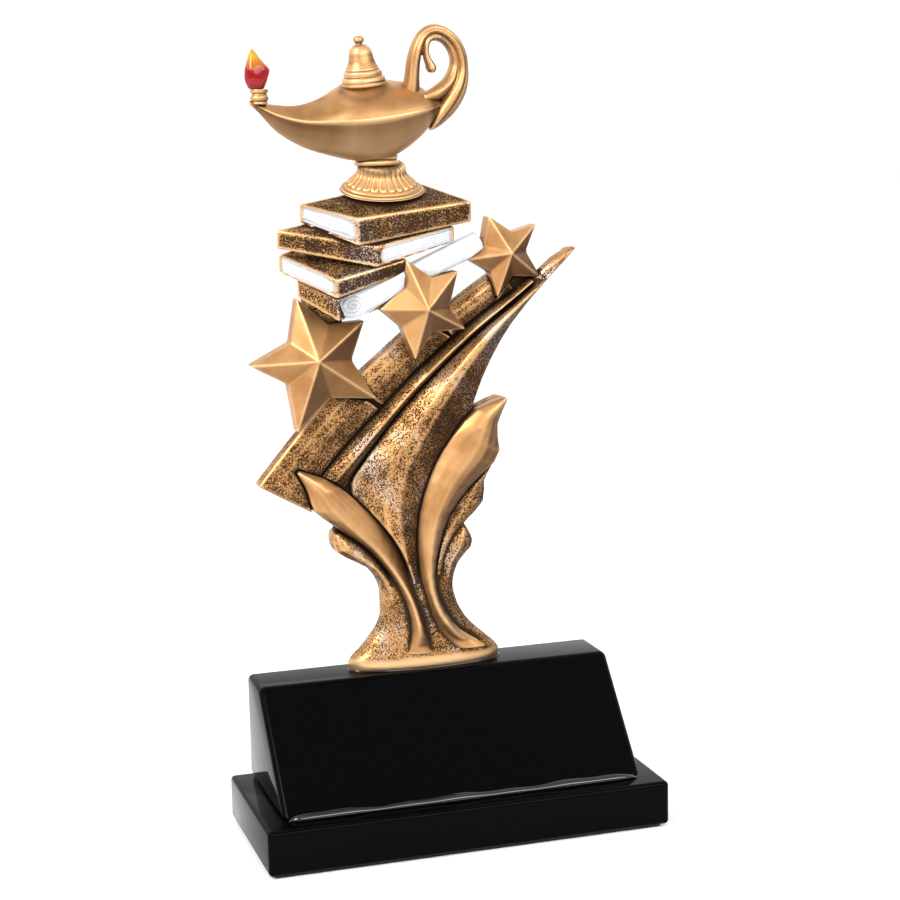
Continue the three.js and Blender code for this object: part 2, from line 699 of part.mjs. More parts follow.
function makePlate() {
  const under = (band) => footprint(band, plateBack, plateDepth);
  const bands = [largeSwoosh, narrowRib, ...flatBands, leftLeaf, rightLeaf, leftLobe,
    upperRightLobe, lowerRightLobe];
  const disc = (part, share) => solid(
    at(rod(part.radius * share, plateBack, plateDepth, 20), part.x + discShift, part.y),
  );
  const shelf = {
    left: curve([-32, 104.4], [-31, 88]), right: curve([-21, 103], [-22, 90]), rows: 2,
  };
  const scrollRest = {
    left: curve([16, 117], [-4, 108.5], [-24, 100.5]),
    right: curve([18.5, 112], [-2, 103.6], [-21, 96.2]),
    rows: 4,
  };
  const starWeb = {
    left: curve([-19, 80], [-22, 70]), right: curve([-9, 76], [-12, 68]), rows: 2,
  };
  const leafWeb = {
    left: curve([-27, 58], [-30, 47]), right: curve([-18, 60], [-16, 45]), rows: 2,
  };
  const tipWeb = {
    left: curve([22, 107], [20, 101]), right: curve([35, 106.4], [26, 100]), rows: 2,
  };
  const whole = join([
    ...bands.map(under), ...stars.map((part) => disc(part, 0.46)),
    ...[shelf, scrollRest, starWeb, leafWeb, tipWeb].map(under),
  ]);
  const belowFoot = box(-80, 80, -20, footHeight, -5, frontmost);
  place(figure, 'back_plate', whole.subtract(belowFoot), antiqueGold());
}

function makeBands() {
  const starClear = [star(largeStar, gap, true), star(smallStar, gap, true)];
  const bossClear = mediumBoss(gap);
  const mediumClear = star(mediumStar, gap, true);
  const leaves = [clearOf(leftLeaf), clearOf(rightLeaf)];
  const swooshClear = clearOf(largeSwoosh);
  const ribClear = clearOf(narrowRib);
  const common = [...starClear, bossClear, mediumClear];
  const onFoot = box(-80, 80, -20, footHeight, -5, frontmost);

  place(figure, 'left_leaf', carvedBand(leftLeaf, 6), smoothGold());
  place(figure, 'right_leaf', carvedBand(rightLeaf, 6), smoothGold());
  place(figure, 'narrow_rib', carve(carvedBand(narrowRib), [...common, leaves[0]]), antiqueGold());
  const swoosh = carve(carvedBand(largeSwoosh, 6), [...common, ...leaves, ribClear, onFoot]);
  place(figure, 'large_swoosh', swoosh, antiqueGold());
  for (const field of flatBands) {
    const cutters = [...common, ...leaves, ribClear, swooshClear];
    place(figure, field.name, carve(carvedBand(field), cutters), antiqueGold());
  }
  const lobeClear = [...leaves, swooshClear, onFoot];
  place(figure, 'left_lobe', carve(carvedBand(leftLobe), lobeClear), antiqueGold());
  place(figure, 'upper_right_lobe', carve(carvedBand(upperRightLobe), lobeClear), antiqueGold());
  const lowerClear = [...lobeClear, clearOf(upperRightLobe)];
  place(figure, 'lower_right_lobe', carve(carvedBand(lowerRightLobe), lowerClear), antiqueGold());
}

function makeStars() {
  place(figure, largeStar.name, star(largeStar), smoothGold());
  place(figure, mediumStar.name, star(mediumStar).add(mediumBoss(0)), smoothGold());
  place(figure, smallStar.name, star(smallStar), smoothGold());
}

makeBase();
makeFixings();
makeFoot();
makePlate();
makeBands();
makeStars();
const starCutters = stars.map((part) => star(part, gap, true));
const stacked = makeBooks([...starCutters, roll(gap)]);
place(figure, 'scroll', carve(roll(0), starCutters), white());
makeLamp(stacked);
makeFlame();

export default group;
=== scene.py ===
# %% [markdown]
# # A star trophy in antique gold on a black lacquered base
# The trophy is one resin casting, painted gold, washed with dark brown and rubbed back, bolted to a
# two-step base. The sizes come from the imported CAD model, which is loaded as a fixed frame, and each
# piece here takes the place of the plain CAD solid with the same job.

import math
import random

import bmesh
import bpy
import numpy as np
from mathutils import Matrix, Vector
from mathutils.bvhtree import BVHTree


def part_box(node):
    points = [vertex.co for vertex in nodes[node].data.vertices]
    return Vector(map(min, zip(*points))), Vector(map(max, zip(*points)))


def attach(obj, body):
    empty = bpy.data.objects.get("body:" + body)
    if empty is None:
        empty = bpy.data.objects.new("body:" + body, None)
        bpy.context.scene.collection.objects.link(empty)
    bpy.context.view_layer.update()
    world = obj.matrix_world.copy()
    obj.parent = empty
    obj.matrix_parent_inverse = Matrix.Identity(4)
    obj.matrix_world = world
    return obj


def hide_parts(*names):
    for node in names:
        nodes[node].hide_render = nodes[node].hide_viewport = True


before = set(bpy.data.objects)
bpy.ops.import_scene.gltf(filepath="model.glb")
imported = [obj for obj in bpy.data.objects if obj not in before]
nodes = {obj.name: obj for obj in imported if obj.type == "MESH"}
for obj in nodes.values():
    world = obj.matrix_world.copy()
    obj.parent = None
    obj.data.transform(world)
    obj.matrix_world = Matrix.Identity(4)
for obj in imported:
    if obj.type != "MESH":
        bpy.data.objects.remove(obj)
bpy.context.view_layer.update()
MM = 0.001

# %% [markdown]
# ## Two ways to say where a thing is
# The base is set out from the floor. The figure is easier to set out from its own foot: x to the
# right, then how far out from the flat back, then how far up from the block, all in millimetres.
# One matrix turns such figure places into metres in the frame, so every lamp and book piece can be
# modelled in plain millimetres and moved once at the end.

# %% The figure's own millimetres
block_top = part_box("sloped_block")[1].z
figure_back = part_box("casting_foot")[1].y
FIGURE_TO_WORLD = Matrix.Translation((0, figure_back, block_top)) @ Matrix.Scale(MM, 4)
print("block top", round(block_top / MM, 2), "figure back", round(figure_back / MM, 2))


def figure_box(node):
    """A CAD node's box in figure millimetres: left, right, back, front, bottom, top."""
    low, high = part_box(node)
    back = FIGURE_TO_WORLD.inverted()
    low, high = back @ low, back @ high
    return low.x, high.x, -high.y, -low.y, low.z, high.z


# %% [markdown]
# ## Camera
# A long lens, a little above the lamp and to the left of the front. Its matrix is written as the
# directions of its right, up and back axes, which is the plainest way to say where a camera looks.

# %% Camera
CAMERA_PLACE = (-0.15296, -0.49654, 0.19443)
CAMERA_RIGHT = (0.95297717, -0.30237548, -0.02008921)
CAMERA_UP = (0.07116415, 0.15885977, 0.98473308)
CAMERA_BACK = (-0.29456777, -0.93985778, 0.17290803)

camera_data = bpy.data.cameras.new("camera")
camera_data.lens = 80
camera_data.sensor_width = 36
camera_data.clip_start, camera_data.clip_end = 0.01, 20
camera = bpy.data.objects.new("camera", camera_data)
bpy.context.scene.collection.objects.link(camera)
axes = Matrix((CAMERA_RIGHT, CAMERA_UP, CAMERA_BACK)).transposed().to_4x4()
camera.matrix_world = Matrix.Translation(CAMERA_PLACE) @ axes
bpy.context.scene.camera = camera
print("camera height", round(CAMERA_PLACE[2] / MM), "mm")

# %% [markdown]
# ## Shader maths as plain sums
# A material is a graph of nodes, and long chains of Math nodes are hard to read. Here a small class
# wraps a socket, so that `1 - mask * 0.5` adds the nodes it needs. Every other node comes from one
# method, `node`, which takes the type, the settings and the inputs.


# %% Wire and Finish
class Wire:
    """A socket of a material, on which sums are written as Python."""

    def __init__(self, finish, socket):
        self.finish = finish
        self.socket = socket

    def sum(self, operation, first, second):
        return self.finish.node("ShaderNodeMath", {"operation": operation}, {0: first, 1: second})

    def __add__(self, other):
        return self.sum("ADD", self, other)

    def __sub__(self, other):
        return self.sum("SUBTRACT", self, other)

    def __rsub__(self, other):
        return self.sum("SUBTRACT", other, self)

    def __mul__(self, other):
        return self.sum("MULTIPLY", self, other)

    __radd__ = __add__
    __rmul__ = __mul__


class Finish:
    """A material with one Principled shader; constants go straight on the shader's sockets."""

    def __init__(self, name, **constants):
        self.material = bpy.data.materials.new(name)
        self.material.use_nodes = True
        self.tree = self.material.node_tree
        self.shader = self.tree.nodes["Principled BSDF"]
        for key, value in constants.items():
            self.shader.inputs[key.replace("_", " ")].default_value = value

    def plug(self, value, socket):
        if isinstance(value, Wire):
            self.tree.links.new(value.socket, socket)
        else:
            socket.default_value = value

    def node(self, kind, settings=None, inputs=None, output=0):
        made = self.tree.nodes.new(kind)
        for key, value in (settings or {}).items():
            setattr(made, key, value)
        for key, value in (inputs or {}).items():
            self.plug(value, made.inputs[key])
        return Wire(self, made.outputs[output])

    def place(self):
        """Where the surface is, in metres."""
        return self.node("ShaderNodeTexCoord", output=3)

    def noise(self, grain, detail=2.0, roughness=0.5, stretch=None):
        """Cloudy noise with grains of about that many millimetres, perhaps drawn out by a stretch."""
        where = self.place()
        if stretch:
            where = self.node("ShaderNodeMapping", None, {"Vector": where, "Scale": stretch})
        return self.node("ShaderNodeTexNoise", None, {
            "Vector": where, "Scale": 1 / (grain * MM), "Detail": detail, "Roughness": roughness,
        })

    def step(self, value, low, high, start=0.0, stop=1.0):
        """A smooth change from start to stop as value goes from low to high."""
        return self.node("ShaderNodeMapRange", {"interpolation_type": "SMOOTHSTEP"}, {
            "Value": value, "From Min": low, "From Max": high, "To Min": start, "To Max": stop,
        })

    def blend(self, share, first, second):
        """Two colours mixed: all of the first at share 0, all of the second at share 1."""
        return self.node("ShaderNodeMix", {"data_type": "RGBA"}, {0: share, 6: first, 7: second}, 2)

    def painted(self, attribute):
        """A number that the mesh carries at each of its points."""
        return self.node("ShaderNodeAttribute", {"attribute_name": attribute}, output=2)

    def bump(self, height, depth, strength=1.0):
        """Turns a height into a normal; depth is in millimetres."""
        return self.node("ShaderNodeBump", None, {
            "Height": height, "Distance": depth * MM, "Strength": strength,
        })

    def wear(self, **sockets):
        for key, value in sockets.items():
            self.plug(value, self.shader.inputs[key.replace("_", " ")])
        return self


def rgb(red, green, blue):
    """A colour given as it looks on a screen, 0 to 255, turned into linear light for a shader."""
    def linear(value):
        share = value / 255
        return share / 12.92 if share <= 0.04045 else ((share + 0.055) / 1.055) ** 2.4
    return (linear(red), linear(green), linear(blue), 1)


print("a middle grey on the screen is", round(rgb(128, 128, 128)[0], 3), "of full light")

# %% [markdown]
# ## Smooth gold
# The stars, the lamp and the big leaves are sprayed with a satin gold and left plain. Up close the
# paint shows fine brush grain, edges that are a little brighter where a cloth has rubbed them and
# where a painted highlight lies, and brown in the corners that is partly wash and partly painted
# shade. The mesh carries three painted numbers for this: `groove`, near another piece, `ridge`,
# along an edge, and `shade`, painted shade on faces that are turned down and away.

# %% Smooth gold
GOLD = rgb(190, 143, 92)
GOLD_DEEP = rgb(166, 118, 70)
GOLD_RUBBED_AND_HIGHLIT = rgb(236, 196, 146)
GOLD_SHADED = rgb(62, 37, 18)
UMBER = rgb(44, 30, 18)


def make_smooth_gold():
    finish = Finish("smooth_gold", Metallic=0.78)
    cloud = finish.noise(9.0, 3.0)
    brushed = finish.noise(0.9, 4.0, 0.7, stretch=(1, 1, 0.35))
    colour = finish.blend(finish.step(cloud, 0.35, 0.65), GOLD, GOLD_DEEP)
    colour = finish.blend(finish.step(brushed, 0.45, 0.75) * 0.25, colour, GOLD_DEEP)
    # Painted light: shade darkens faces turned from the upper left, ridge adds a painted highlight on
    # rubbed edges, and groove adds painted shade near other pieces and in creases.
    colour = finish.blend(finish.painted("shade") * 0.88, colour, GOLD_SHADED)
    colour = finish.blend(finish.painted("ridge") * 0.6, colour, GOLD_RUBBED_AND_HIGHLIT)
    colour = finish.blend(finish.painted("groove") * 0.75, colour, UMBER)
    roughness = 0.33 + brushed * 0.14 + finish.painted("groove") * 0.2
    normal = finish.bump(brushed, 0.05, 0.35)
    return finish.wear(Base_Color=colour, Roughness=roughness, Normal=normal)


smooth_gold = make_smooth_gold()
print("smooth gold nodes:", len(smooth_gold.tree.nodes))

# %% [markdown]
# ## Antique gold
# The books and ribbons get the same gold, then a dark wash is stippled on and rubbed off, which
# leaves dark brown specks of about half a millimetre. Two noises make them: a fine one gives the
# specks, and a broad one moves the level at which a speck shows, so that they crowd together in
# places. The wash stays in grooves and is gone from edges. On top of that the grooves are darkened
# as painted shade, faces turned away from the upper left get painted shade and a few more specks,
# and edges get a painted highlight. Here and there a painted sheen makes the rubbed paint silvery.

# %% Antique gold
SPECK = rgb(34, 22, 13)
SILVERY = rgb(205, 190, 178)


def make_antique_gold():
    finish = Finish("antique_gold", Specular_IOR_Level=0.06)
    fine = finish.noise(0.42, 3.0, 0.75)
    broad = finish.noise(7.0, 3.0)
    sheen = finish.noise(11.0, 2.0, stretch=(1.3, 1, 0.7))
    ridge = finish.painted("ridge")
    groove = finish.painted("groove")
    shade = finish.painted("shade")
    # The speck level also rises with painted shade: in grooves and on faces turned from the upper left.
    level = fine + broad * 0.2 + groove * 0.25 + shade * 0.045 + finish.painted("wash") - ridge * 0.3
    specks = finish.step(level, 0.56, 0.625)
    colour = finish.blend(finish.step(broad, 0.4, 0.65), GOLD, GOLD_DEEP)
    # Painted sheen at random, a painted highlight on rubbed edges, painted shade on faces turned away,
    # and wash with painted shade in grooves.
    colour = finish.blend(finish.step(sheen, 0.5, 0.68) * 0.55, colour, SILVERY)
    colour = finish.blend(ridge * 0.5, colour, GOLD_RUBBED_AND_HIGHLIT)
    colour = finish.blend(shade * 0.6, colour, GOLD_SHADED)
    colour = finish.blend(specks * 0.96, colour, SPECK)
    colour = finish.blend(finish.step(groove, 0.55, 1.0) * 0.85, colour, SPECK)
    roughness = 0.36 + specks * 0.25
    normal = finish.bump(specks * -1.0 + fine * 0.6, 0.07, 0.5)
    return finish.wear(Base_Color=colour, Metallic=0.76 - specks * 0.7, Roughness=roughness,
                       Normal=normal)


antique_gold = make_antique_gold()
print("antique gold nodes:", len(antique_gold.tree.nodes))

# %% [markdown]
# ## White enamel
# The pages and the rolled paper are brushed with white. The page edges keep thin blue-grey lines
# where the wash sits between the leaves; the mesh says where with the painted number `leaf`.

# %% White enamel
WHITE = rgb(202, 205, 211)
WHITE_DULL = rgb(178, 184, 196)
PAGE_LINE = rgb(70, 80, 104)
CORNER_SHADE = rgb(120, 104, 88)


def make_white(name, line_strength):
    finish = Finish(name, Metallic=0.0, Specular_IOR_Level=0.4)
    cloud = finish.noise(3.0, 3.0)
    colour = finish.blend(finish.step(cloud, 0.45, 0.7) * 0.25, WHITE, WHITE_DULL)
    lines = finish.painted("leaf") * finish.step(finish.noise(2.2, 2.0), 0.35, 0.6, 0.45, 1.0)
    colour = finish.blend(lines * line_strength, colour, PAGE_LINE)
    # Painted shade: near other pieces the white turns brownish grey.
    colour = finish.blend(finish.painted("groove") * 0.35, colour, CORNER_SHADE)
    normal = finish.bump(finish.noise(0.8, 3.0), 0.05, 0.4)
    return finish.wear(Base_Color=colour, Roughness=0.38 + cloud * 0.15, Normal=normal)


page_white = make_white("page_white", 0.75)
paper_white = make_white("paper_white", 0.3)
print("white enamel nodes:", len(page_white.tree.nodes))

# %% [markdown]
# ## Flame enamel
# The flame is glossy: red below, and yellow with a little orange towards the tip. The height of the
# spot, broken up by noise, decides which paint shows, so the border is as uneven as brushwork.

# %% Flame enamel
flame_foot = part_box("flame_lower")[0].z
flame_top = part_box("flame_tip")[1].z
RED_DARK, RED = rgb(74, 1, 6), rgb(128, 4, 11)
ORANGE, YELLOW = rgb(164, 84, 10), rgb(176, 136, 22)


def make_flame_enamel():
    finish = Finish("flame_enamel", Metallic=0.0, Specular_IOR_Level=0.2, Coat_Weight=0.25,
                    Coat_Roughness=0.05)
    height = finish.node("ShaderNodeSeparateXYZ", None, {0: finish.place()}, 2)
    share = (height - flame_foot) * (1 / (flame_top - flame_foot))
    share = share + (finish.noise(1.6, 2.0) - 0.5) * 0.22
    colour = finish.blend(finish.step(share, 0.02, 0.2), RED_DARK, RED)
    colour = finish.blend(finish.step(share, 0.5, 0.62), colour, ORANGE)
    colour = finish.blend(finish.step(share, 0.62, 0.85), colour, YELLOW)
    return finish.wear(Base_Color=colour, Roughness=0.16 + finish.noise(1.0) * 0.1)


flame_enamel = make_flame_enamel()
print("flame from", round(flame_foot / MM, 1), "to", round(flame_top / MM, 1), "mm")

# %% [markdown]
# ## Lacquer, felt and steel
# The base is deep black and mirrors little at right angles and much at a flat angle, so most of what
# shows on it is reflection. A faint ripple in the normal keeps the reflections from being drawn with
# a ruler. Lacquer and glue that ran and set are glossier. The felt is matt and hairy; the fixings
# are plain steel with fine turning lines.


# %% Lacquer, felt and steel
def make_lacquer(name, gloss):
    finish = Finish(name, Metallic=0.0, Specular_IOR_Level=gloss)
    dust = finish.noise(0.5, 2.0)
    colour = finish.blend(finish.step(dust, 0.7, 0.78) * 0.2, rgb(4, 4, 5), rgb(40, 38, 36))
    ripple = finish.bump(finish.noise(26.0, 1.0), 0.6, 0.12)
    return finish.wear(Base_Color=colour, Roughness=0.05 + finish.noise(14.0) * 0.05,
                       Normal=ripple)


def make_felt():
    finish = Finish("black_felt", Metallic=0.0)
    hair = finish.noise(0.35, 4.0, 0.8, stretch=(1, 3, 1))
    colour = finish.blend(hair, rgb(14, 14, 15), rgb(52, 50, 50))
    return finish.wear(Base_Color=colour, Roughness=0.9 + hair * 0.1,
                       Normal=finish.bump(hair, 0.2))


def make_steel():
    finish = Finish("zinc_steel", Metallic=1.0)
    lines = finish.noise(0.3, 3.0, stretch=(1, 1, 8))
    colour = finish.blend(lines, rgb(150, 152, 156), rgb(205, 206, 210))
    return finish.wear(Base_Color=colour, Roughness=0.25 + lines * 0.2,
                       Normal=finish.bump(lines, 0.05, 0.5))


black_lacquer = make_lacquer("black_lacquer", 0.03)
run_lacquer = make_lacquer("run_lacquer", 0.7)
black_felt = make_felt()
zinc_steel = make_steel()
print("finishes:", len(bpy.data.materials))

# %% [markdown]
# ## How a piece is finished and hung in the frame
# Each piece becomes an object at the origin with its place in its mesh. It rides on the one body,
# and the CAD nodes it stands for are hidden.


# %% Placing a piece
def place(name, mesh, finish, slot, *stands_for):
    mesh.name = name
    mesh.materials.clear()
    mesh.materials.append(finish.material)
    mesh.shade_smooth()
    piece = bpy.data.objects.new(name, mesh)
    bpy.context.scene.collection.objects.link(piece)
    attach(piece, "root")
    if stands_for:
        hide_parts(*stands_for)
    print(f"{name}: {sum(len(p.vertices) - 2 for p in mesh.polygons)} triangles")
    return piece


def to_mesh(bm, matrix=None):
    """Closes doubles, turns faces outwards, moves the shape to its place and makes it a mesh."""
    bmesh.ops.remove_doubles(bm, verts=bm.verts, dist=1e-6 if matrix is None else 1e-3)
    bm.normal_update()
    bmesh.ops.recalc_face_normals(bm, faces=bm.faces)
    if matrix is not None:
        bmesh.ops.transform(bm, matrix=matrix, verts=bm.verts)
    mesh = bpy.data.meshes.new("piece")
    bm.to_mesh(mesh)
    bm.free()
    return mesh


def with_modifiers(mesh, *modifiers):
    """Runs a mesh through modifiers, each a type and its settings, and returns the new mesh."""
    worker = bpy.data.objects.new("worker", mesh)
    bpy.context.scene.collection.objects.link(worker)
    for index, (kind, settings) in enumerate(modifiers):
        modifier = worker.modifiers.new(f"step_{index}", kind)
        for key, value in settings.items():
            setattr(modifier, key, value)
    graph = bpy.context.evaluated_depsgraph_get()
    result = bpy.data.meshes.new_from_object(worker.evaluated_get(graph))
    bpy.data.objects.remove(worker)
    return result


# %% [markdown]
# ## Painted numbers
# Wash, rubbing and painted light and shade follow the shape, so they are worked out from it.
# `groove` looks for the nearest other piece of the figure, the closer the darker, and for creases in
# the piece itself; it stands for wash and painted shade at once. `ridge` compares each point's normal
# with the way to its neighbours, and is 1 where the surface turns sharply outwards: rubbed edges with
# a painted highlight. `shade` grows where a face turns away from the upper left, where the light comes
# from: painted shade. `wash` is one number for a whole piece: how much darker its specks lie than on
# the rest.


# %% Groove, ridge and shade
BASE_NODES = {"felt_base_pad", "plinth_slab", "sloped_block", "block_lacquer_bead", "bolt_washer",
              "figure_bolt", "block_screw_1", "block_screw_2"}


def neighbours_of(own):
    """A search tree over all the figure's CAD nodes but a piece's own and the plate behind it."""
    points, faces = [], []
    for name, node in nodes.items():
        if name in own or name == "back_plate" or name in BASE_NODES:
            continue
        start = len(points)
        points.extend(v.co.copy() for v in node.data.vertices)
        faces.extend([start + i for i in p.vertices] for p in node.data.polygons)
    return BVHTree.FromPolygons(points, faces)


def store(mesh, name, values):
    attribute = mesh.attributes.get(name) or mesh.attributes.new(name, "FLOAT", "POINT")
    attribute.data.foreach_set("value", np.asarray(values, np.float32))


def surface(mesh):
    """Points, normals and edge ends of a mesh as arrays."""
    count = len(mesh.vertices)
    points = np.empty(count * 3)
    normals = np.empty(count * 3)
    edges = np.empty(len(mesh.edges) * 2, np.int32)
    mesh.vertices.foreach_get("co", points)
    mesh.vertices.foreach_get("normal", normals)
    mesh.edges.foreach_get("vertices", edges)
    return points.reshape(-1, 3), normals.reshape(-1, 3), edges.reshape(-1, 2)


def averaged(values, edges, rounds):
    """Each value moved towards the mean of its neighbours, several times over."""
    count = np.bincount(edges.ravel(), minlength=len(values)).clip(1)
    for _ in range(rounds):
        total = np.bincount(edges[:, 0], values[edges[:, 1]], len(values))
        total += np.bincount(edges[:, 1], values[edges[:, 0]], len(values))
        values = (values + total / count) / 2
    return values


def painted_values(mesh, name):
    values = np.empty(len(mesh.vertices))
    mesh.attributes[name].data.foreach_get("value", values)
    return values


UPPER_LEFT = np.array((-0.6, -0.42, 0.68))
SHADE_STARTS, SHADE_RANGE = 0.5, 0.42       # in the cosine between a face and the upper left
DARKEST_GROOVE = 0.35                       # mm to the next piece


def paint_shade_and_wear(mesh, own, reach=1.3, ridge_turn=0.13, ridge_rounds=3, wash=0.0):
    """Stores the four numbers; reach is how far in millimetres a neighbour darkens the paint."""
    points, normals, edges = surface(mesh)
    tree = neighbours_of(own)
    near = np.full(len(points), reach)
    for index, point in enumerate(points):
        found = tree.find_nearest(point, reach * MM)
        if found[3] is not None:
            near[index] = found[3] / MM
    # groove: painted shade near other pieces and in creases, where the wash also lies.
    groove = np.clip((reach - near) / (reach - DARKEST_GROOVE), 0, 1)
    way = points[edges[:, 1]] - points[edges[:, 0]]
    way /= np.linalg.norm(way, axis=1).clip(1e-9)[:, None]
    turn = np.bincount(edges[:, 0], -(normals[edges[:, 0]] * way).sum(1), len(points))
    turn += np.bincount(edges[:, 1], (normals[edges[:, 1]] * way).sum(1), len(points))
    turn /= np.bincount(edges.ravel(), minlength=len(points)).clip(1)
    turn = averaged(turn, edges, ridge_rounds)
    hollow = np.clip(-turn / ridge_turn - 0.25, 0, 1) * 0.8
    store(mesh, "groove", np.maximum(averaged(groove, edges, 2), hollow))
    store(mesh, "ridge", np.clip(turn / ridge_turn, 0, 1))
    # shade: painted shade on faces turned away from the upper left.
    shade = (SHADE_STARTS - normals @ UPPER_LEFT) / SHADE_RANGE
    store(mesh, "shade", np.clip(shade, 0, 1))
    store(mesh, "wash", np.full(len(points), wash))
    return mesh


print("figure nodes:", len(nodes) - len(BASE_NODES))

# %% [markdown]
# ## Cast pieces
# The stars, leaves, ribbons and the foot come out of a mould, so none of their edges is sharp and
# their faces flow. They could be modelled again by hand, but the CAD solids already have the right
# shape with flat facets. Each is copied, merged, rebuilt from small even faces (a voxel remesh), and
# smoothed, which rounds edges and melts facets just as paint and a worn mould do. Pieces that are
# one surface on the real casting are swollen a little first, so that the remesh joins them, and
# then shrunk back.


# %% Casting from CAD nodes
def copies(*names):
    """One bmesh with merged copies of CAD nodes."""
    bm = bmesh.new()
    for name in names:
        bm.from_mesh(nodes[name].data)
    bmesh.ops.remove_doubles(bm, verts=bm.verts, dist=1e-6)
    return bm


def remeshed(mesh, voxel, rounds, swell=0.0):
    """Even small faces, smoothed; swell, in millimetres, closes gaps twice that wide."""
    return with_modifiers(
        mesh,
        ("DISPLACE", {"strength": swell * MM, "mid_level": 0.0}),
        ("REMESH", {"mode": "VOXEL", "voxel_size": voxel * MM, "use_smooth_shade": True}),
        ("SMOOTH", {"factor": 0.5, "iterations": rounds}),
        ("DISPLACE", {"strength": -swell * MM, "mid_level": 0.0}),
    )


CAST_PIECES = [
    ("back_plate", 0.6, 3, 0.0),
    ("narrow_rib", 0.3, 8, 0.03),
    ("upper_flat_band", 0.3, 5, -0.015),
    ("middle_flat_band", 0.3, 5, -0.015),
    ("lower_flat_band", 0.3, 5, 0.0),
    ("book_support", 0.3, 5, 0.02),
]
for node, voxel, rounds, wash in CAST_PIECES:
    mesh = remeshed(to_mesh(copies(node)), voxel, rounds)
    place("cast_" + node, paint_shade_and_wear(mesh, {node}, wash=wash), antique_gold, "antique_gold", node)

# %% [markdown]
# ## Two shapes that many pieces start from
# A line through a few values has to run smoothly, and a bar that is cut into rings can be bent into
# a strap, a hull or a stem by moving each of its points. A bent bar has its rings set square to a
# line and scaled to their own radius, and it stands out a little further than that radius, as
# relief work does.


# %% Smooth lines and long bars
def along_line(values, share):
    """A smooth line through evenly spaced values, read at a share of its length."""
    place_on = min(max(share, 0), 1) * (len(values) - 1)
    index = min(int(place_on), len(values) - 2)
    t = place_on - index
    p = values[max(index - 1, 0)]
    q, r = values[index], values[index + 1]
    s = values[min(index + 2, len(values) - 1)]
    return 0.5 * (2 * q + (r - p) * t + (2 * p - 5 * q + 4 * r - s) * t * t
                  + (3 * q - p - 3 * r + s) * t ** 3)


def long_bar(sides, rings):
    """A closed bar of radius 1 from z = 0 to z = 1, cut into rings."""
    bm = bmesh.new()
    bmesh.ops.create_cone(bm, cap_ends=True, cap_tris=True, segments=sides, radius1=1, radius2=1,
                          depth=1)
    bmesh.ops.translate(bm, vec=(0, 0, 0.5), verts=bm.verts)
    long_edges = [e for e in bm.edges if abs(e.verts[0].co.z - e.verts[1].co.z) > 0.5]
    bmesh.ops.subdivide_edges(bm, edges=long_edges, cuts=rings - 1, use_grid_fill=True)
    return bm


def signed_power(value, power):
    return math.copysign(abs(value) ** power, value)


BAR_STANDS_OUT = 0.9


def bent_bar(path, radii, sides, rings, section=None):
    """path: x, up and out; radii along it; section: a share of the radius by angle and place."""
    xs, ups, outs = (tuple(p[i] for p in path) for i in range(3))
    bm = long_bar(sides, rings)
    for vert in bm.verts:
        share = vert.co.z
        turn = math.atan2(vert.co.y, vert.co.x)
        far = math.hypot(vert.co.x, vert.co.y)
        radius = along_line(radii, share) * far * (section(turn, share) if section else 1)
        before, after = max(share - 0.01, 0), min(share + 0.01, 1)
        ahead = Vector((along_line(xs, after) - along_line(xs, before),
                        along_line(ups, after) - along_line(ups, before))).normalized()
        side = Vector((ahead.y, -ahead.x))
        vert.co = Vector((
            along_line(xs, share) + side.x * math.cos(turn) * radius,
            -along_line(outs, share) - math.sin(turn) * (radius + BAR_STANDS_OUT * far),
            along_line(ups, share) + side.y * math.cos(turn) * radius,
        ))
    return to_mesh(bm, FIGURE_TO_WORLD)


bar = long_bar(8, 4)
print("a bar of 8 sides and 4 rings has", len(bar.verts), "points")
bar.free()

# %% [markdown]
# ## The foot, the large ribbon and the lobes
# On the casting these run into each other without a seam: the ribbon and the scalloped lobes draw
# together into a neck that flares out over the block. The flare is a bar stood on end, with a left
# and a right edge at each height, and it joins copies of the CAD lobes and ribbon in one remesh. A
# small bent bar rounds off the ribbon's tip. The lip of the foot is left plain gold, which the
# painted ridge says.

# %% Foot and ribbon
STEM = ("casting_foot", "large_swoosh", "left_lobe", "upper_right_lobe", "lower_right_lobe")
FLARE_STEP = 2.0                            # mm in height from one share below to the next
FLARE_LEFT = (-0.98, -1.0, -0.94, -0.84, -0.76, -0.68, -0.62, -0.58, -0.56, -0.545, -0.55, -0.56,
              -0.56, -0.5)
FLARE_RIGHT = (0.97, 1.0, 0.94, 0.84, 0.74, 0.64, 0.56, 0.5, 0.45, 0.42, 0.395, 0.385, 0.39, 0.4)
FLARE_DEPTH = (0.97, 1.0, 0.97, 0.9, 0.87, 0.85, 0.84, 0.83, 0.82, 0.8, 0.78, 0.72, 0.62, 0.5)
TIP_LINE = [(-13.2, -9.3, 7.4), (-9.7, -6.7, 7.8), (-6.2, -4, 7.8), (-3, -1.8, 7.4),
            (-0.6, -0.4, 6.8)]              # across and up from the ribbon's tip, and out
TIP_RADII = (0.6, 1.5, 1.7, 1.2, 0.45)
_, ribbon_right, _, _, _, ribbon_top = figure_box("large_swoosh")
foot_left, foot_right, foot_back, foot_front, _, _ = figure_box("casting_foot")
foot_middle, foot_half = (foot_left + foot_right) / 2, (foot_right - foot_left) / 2


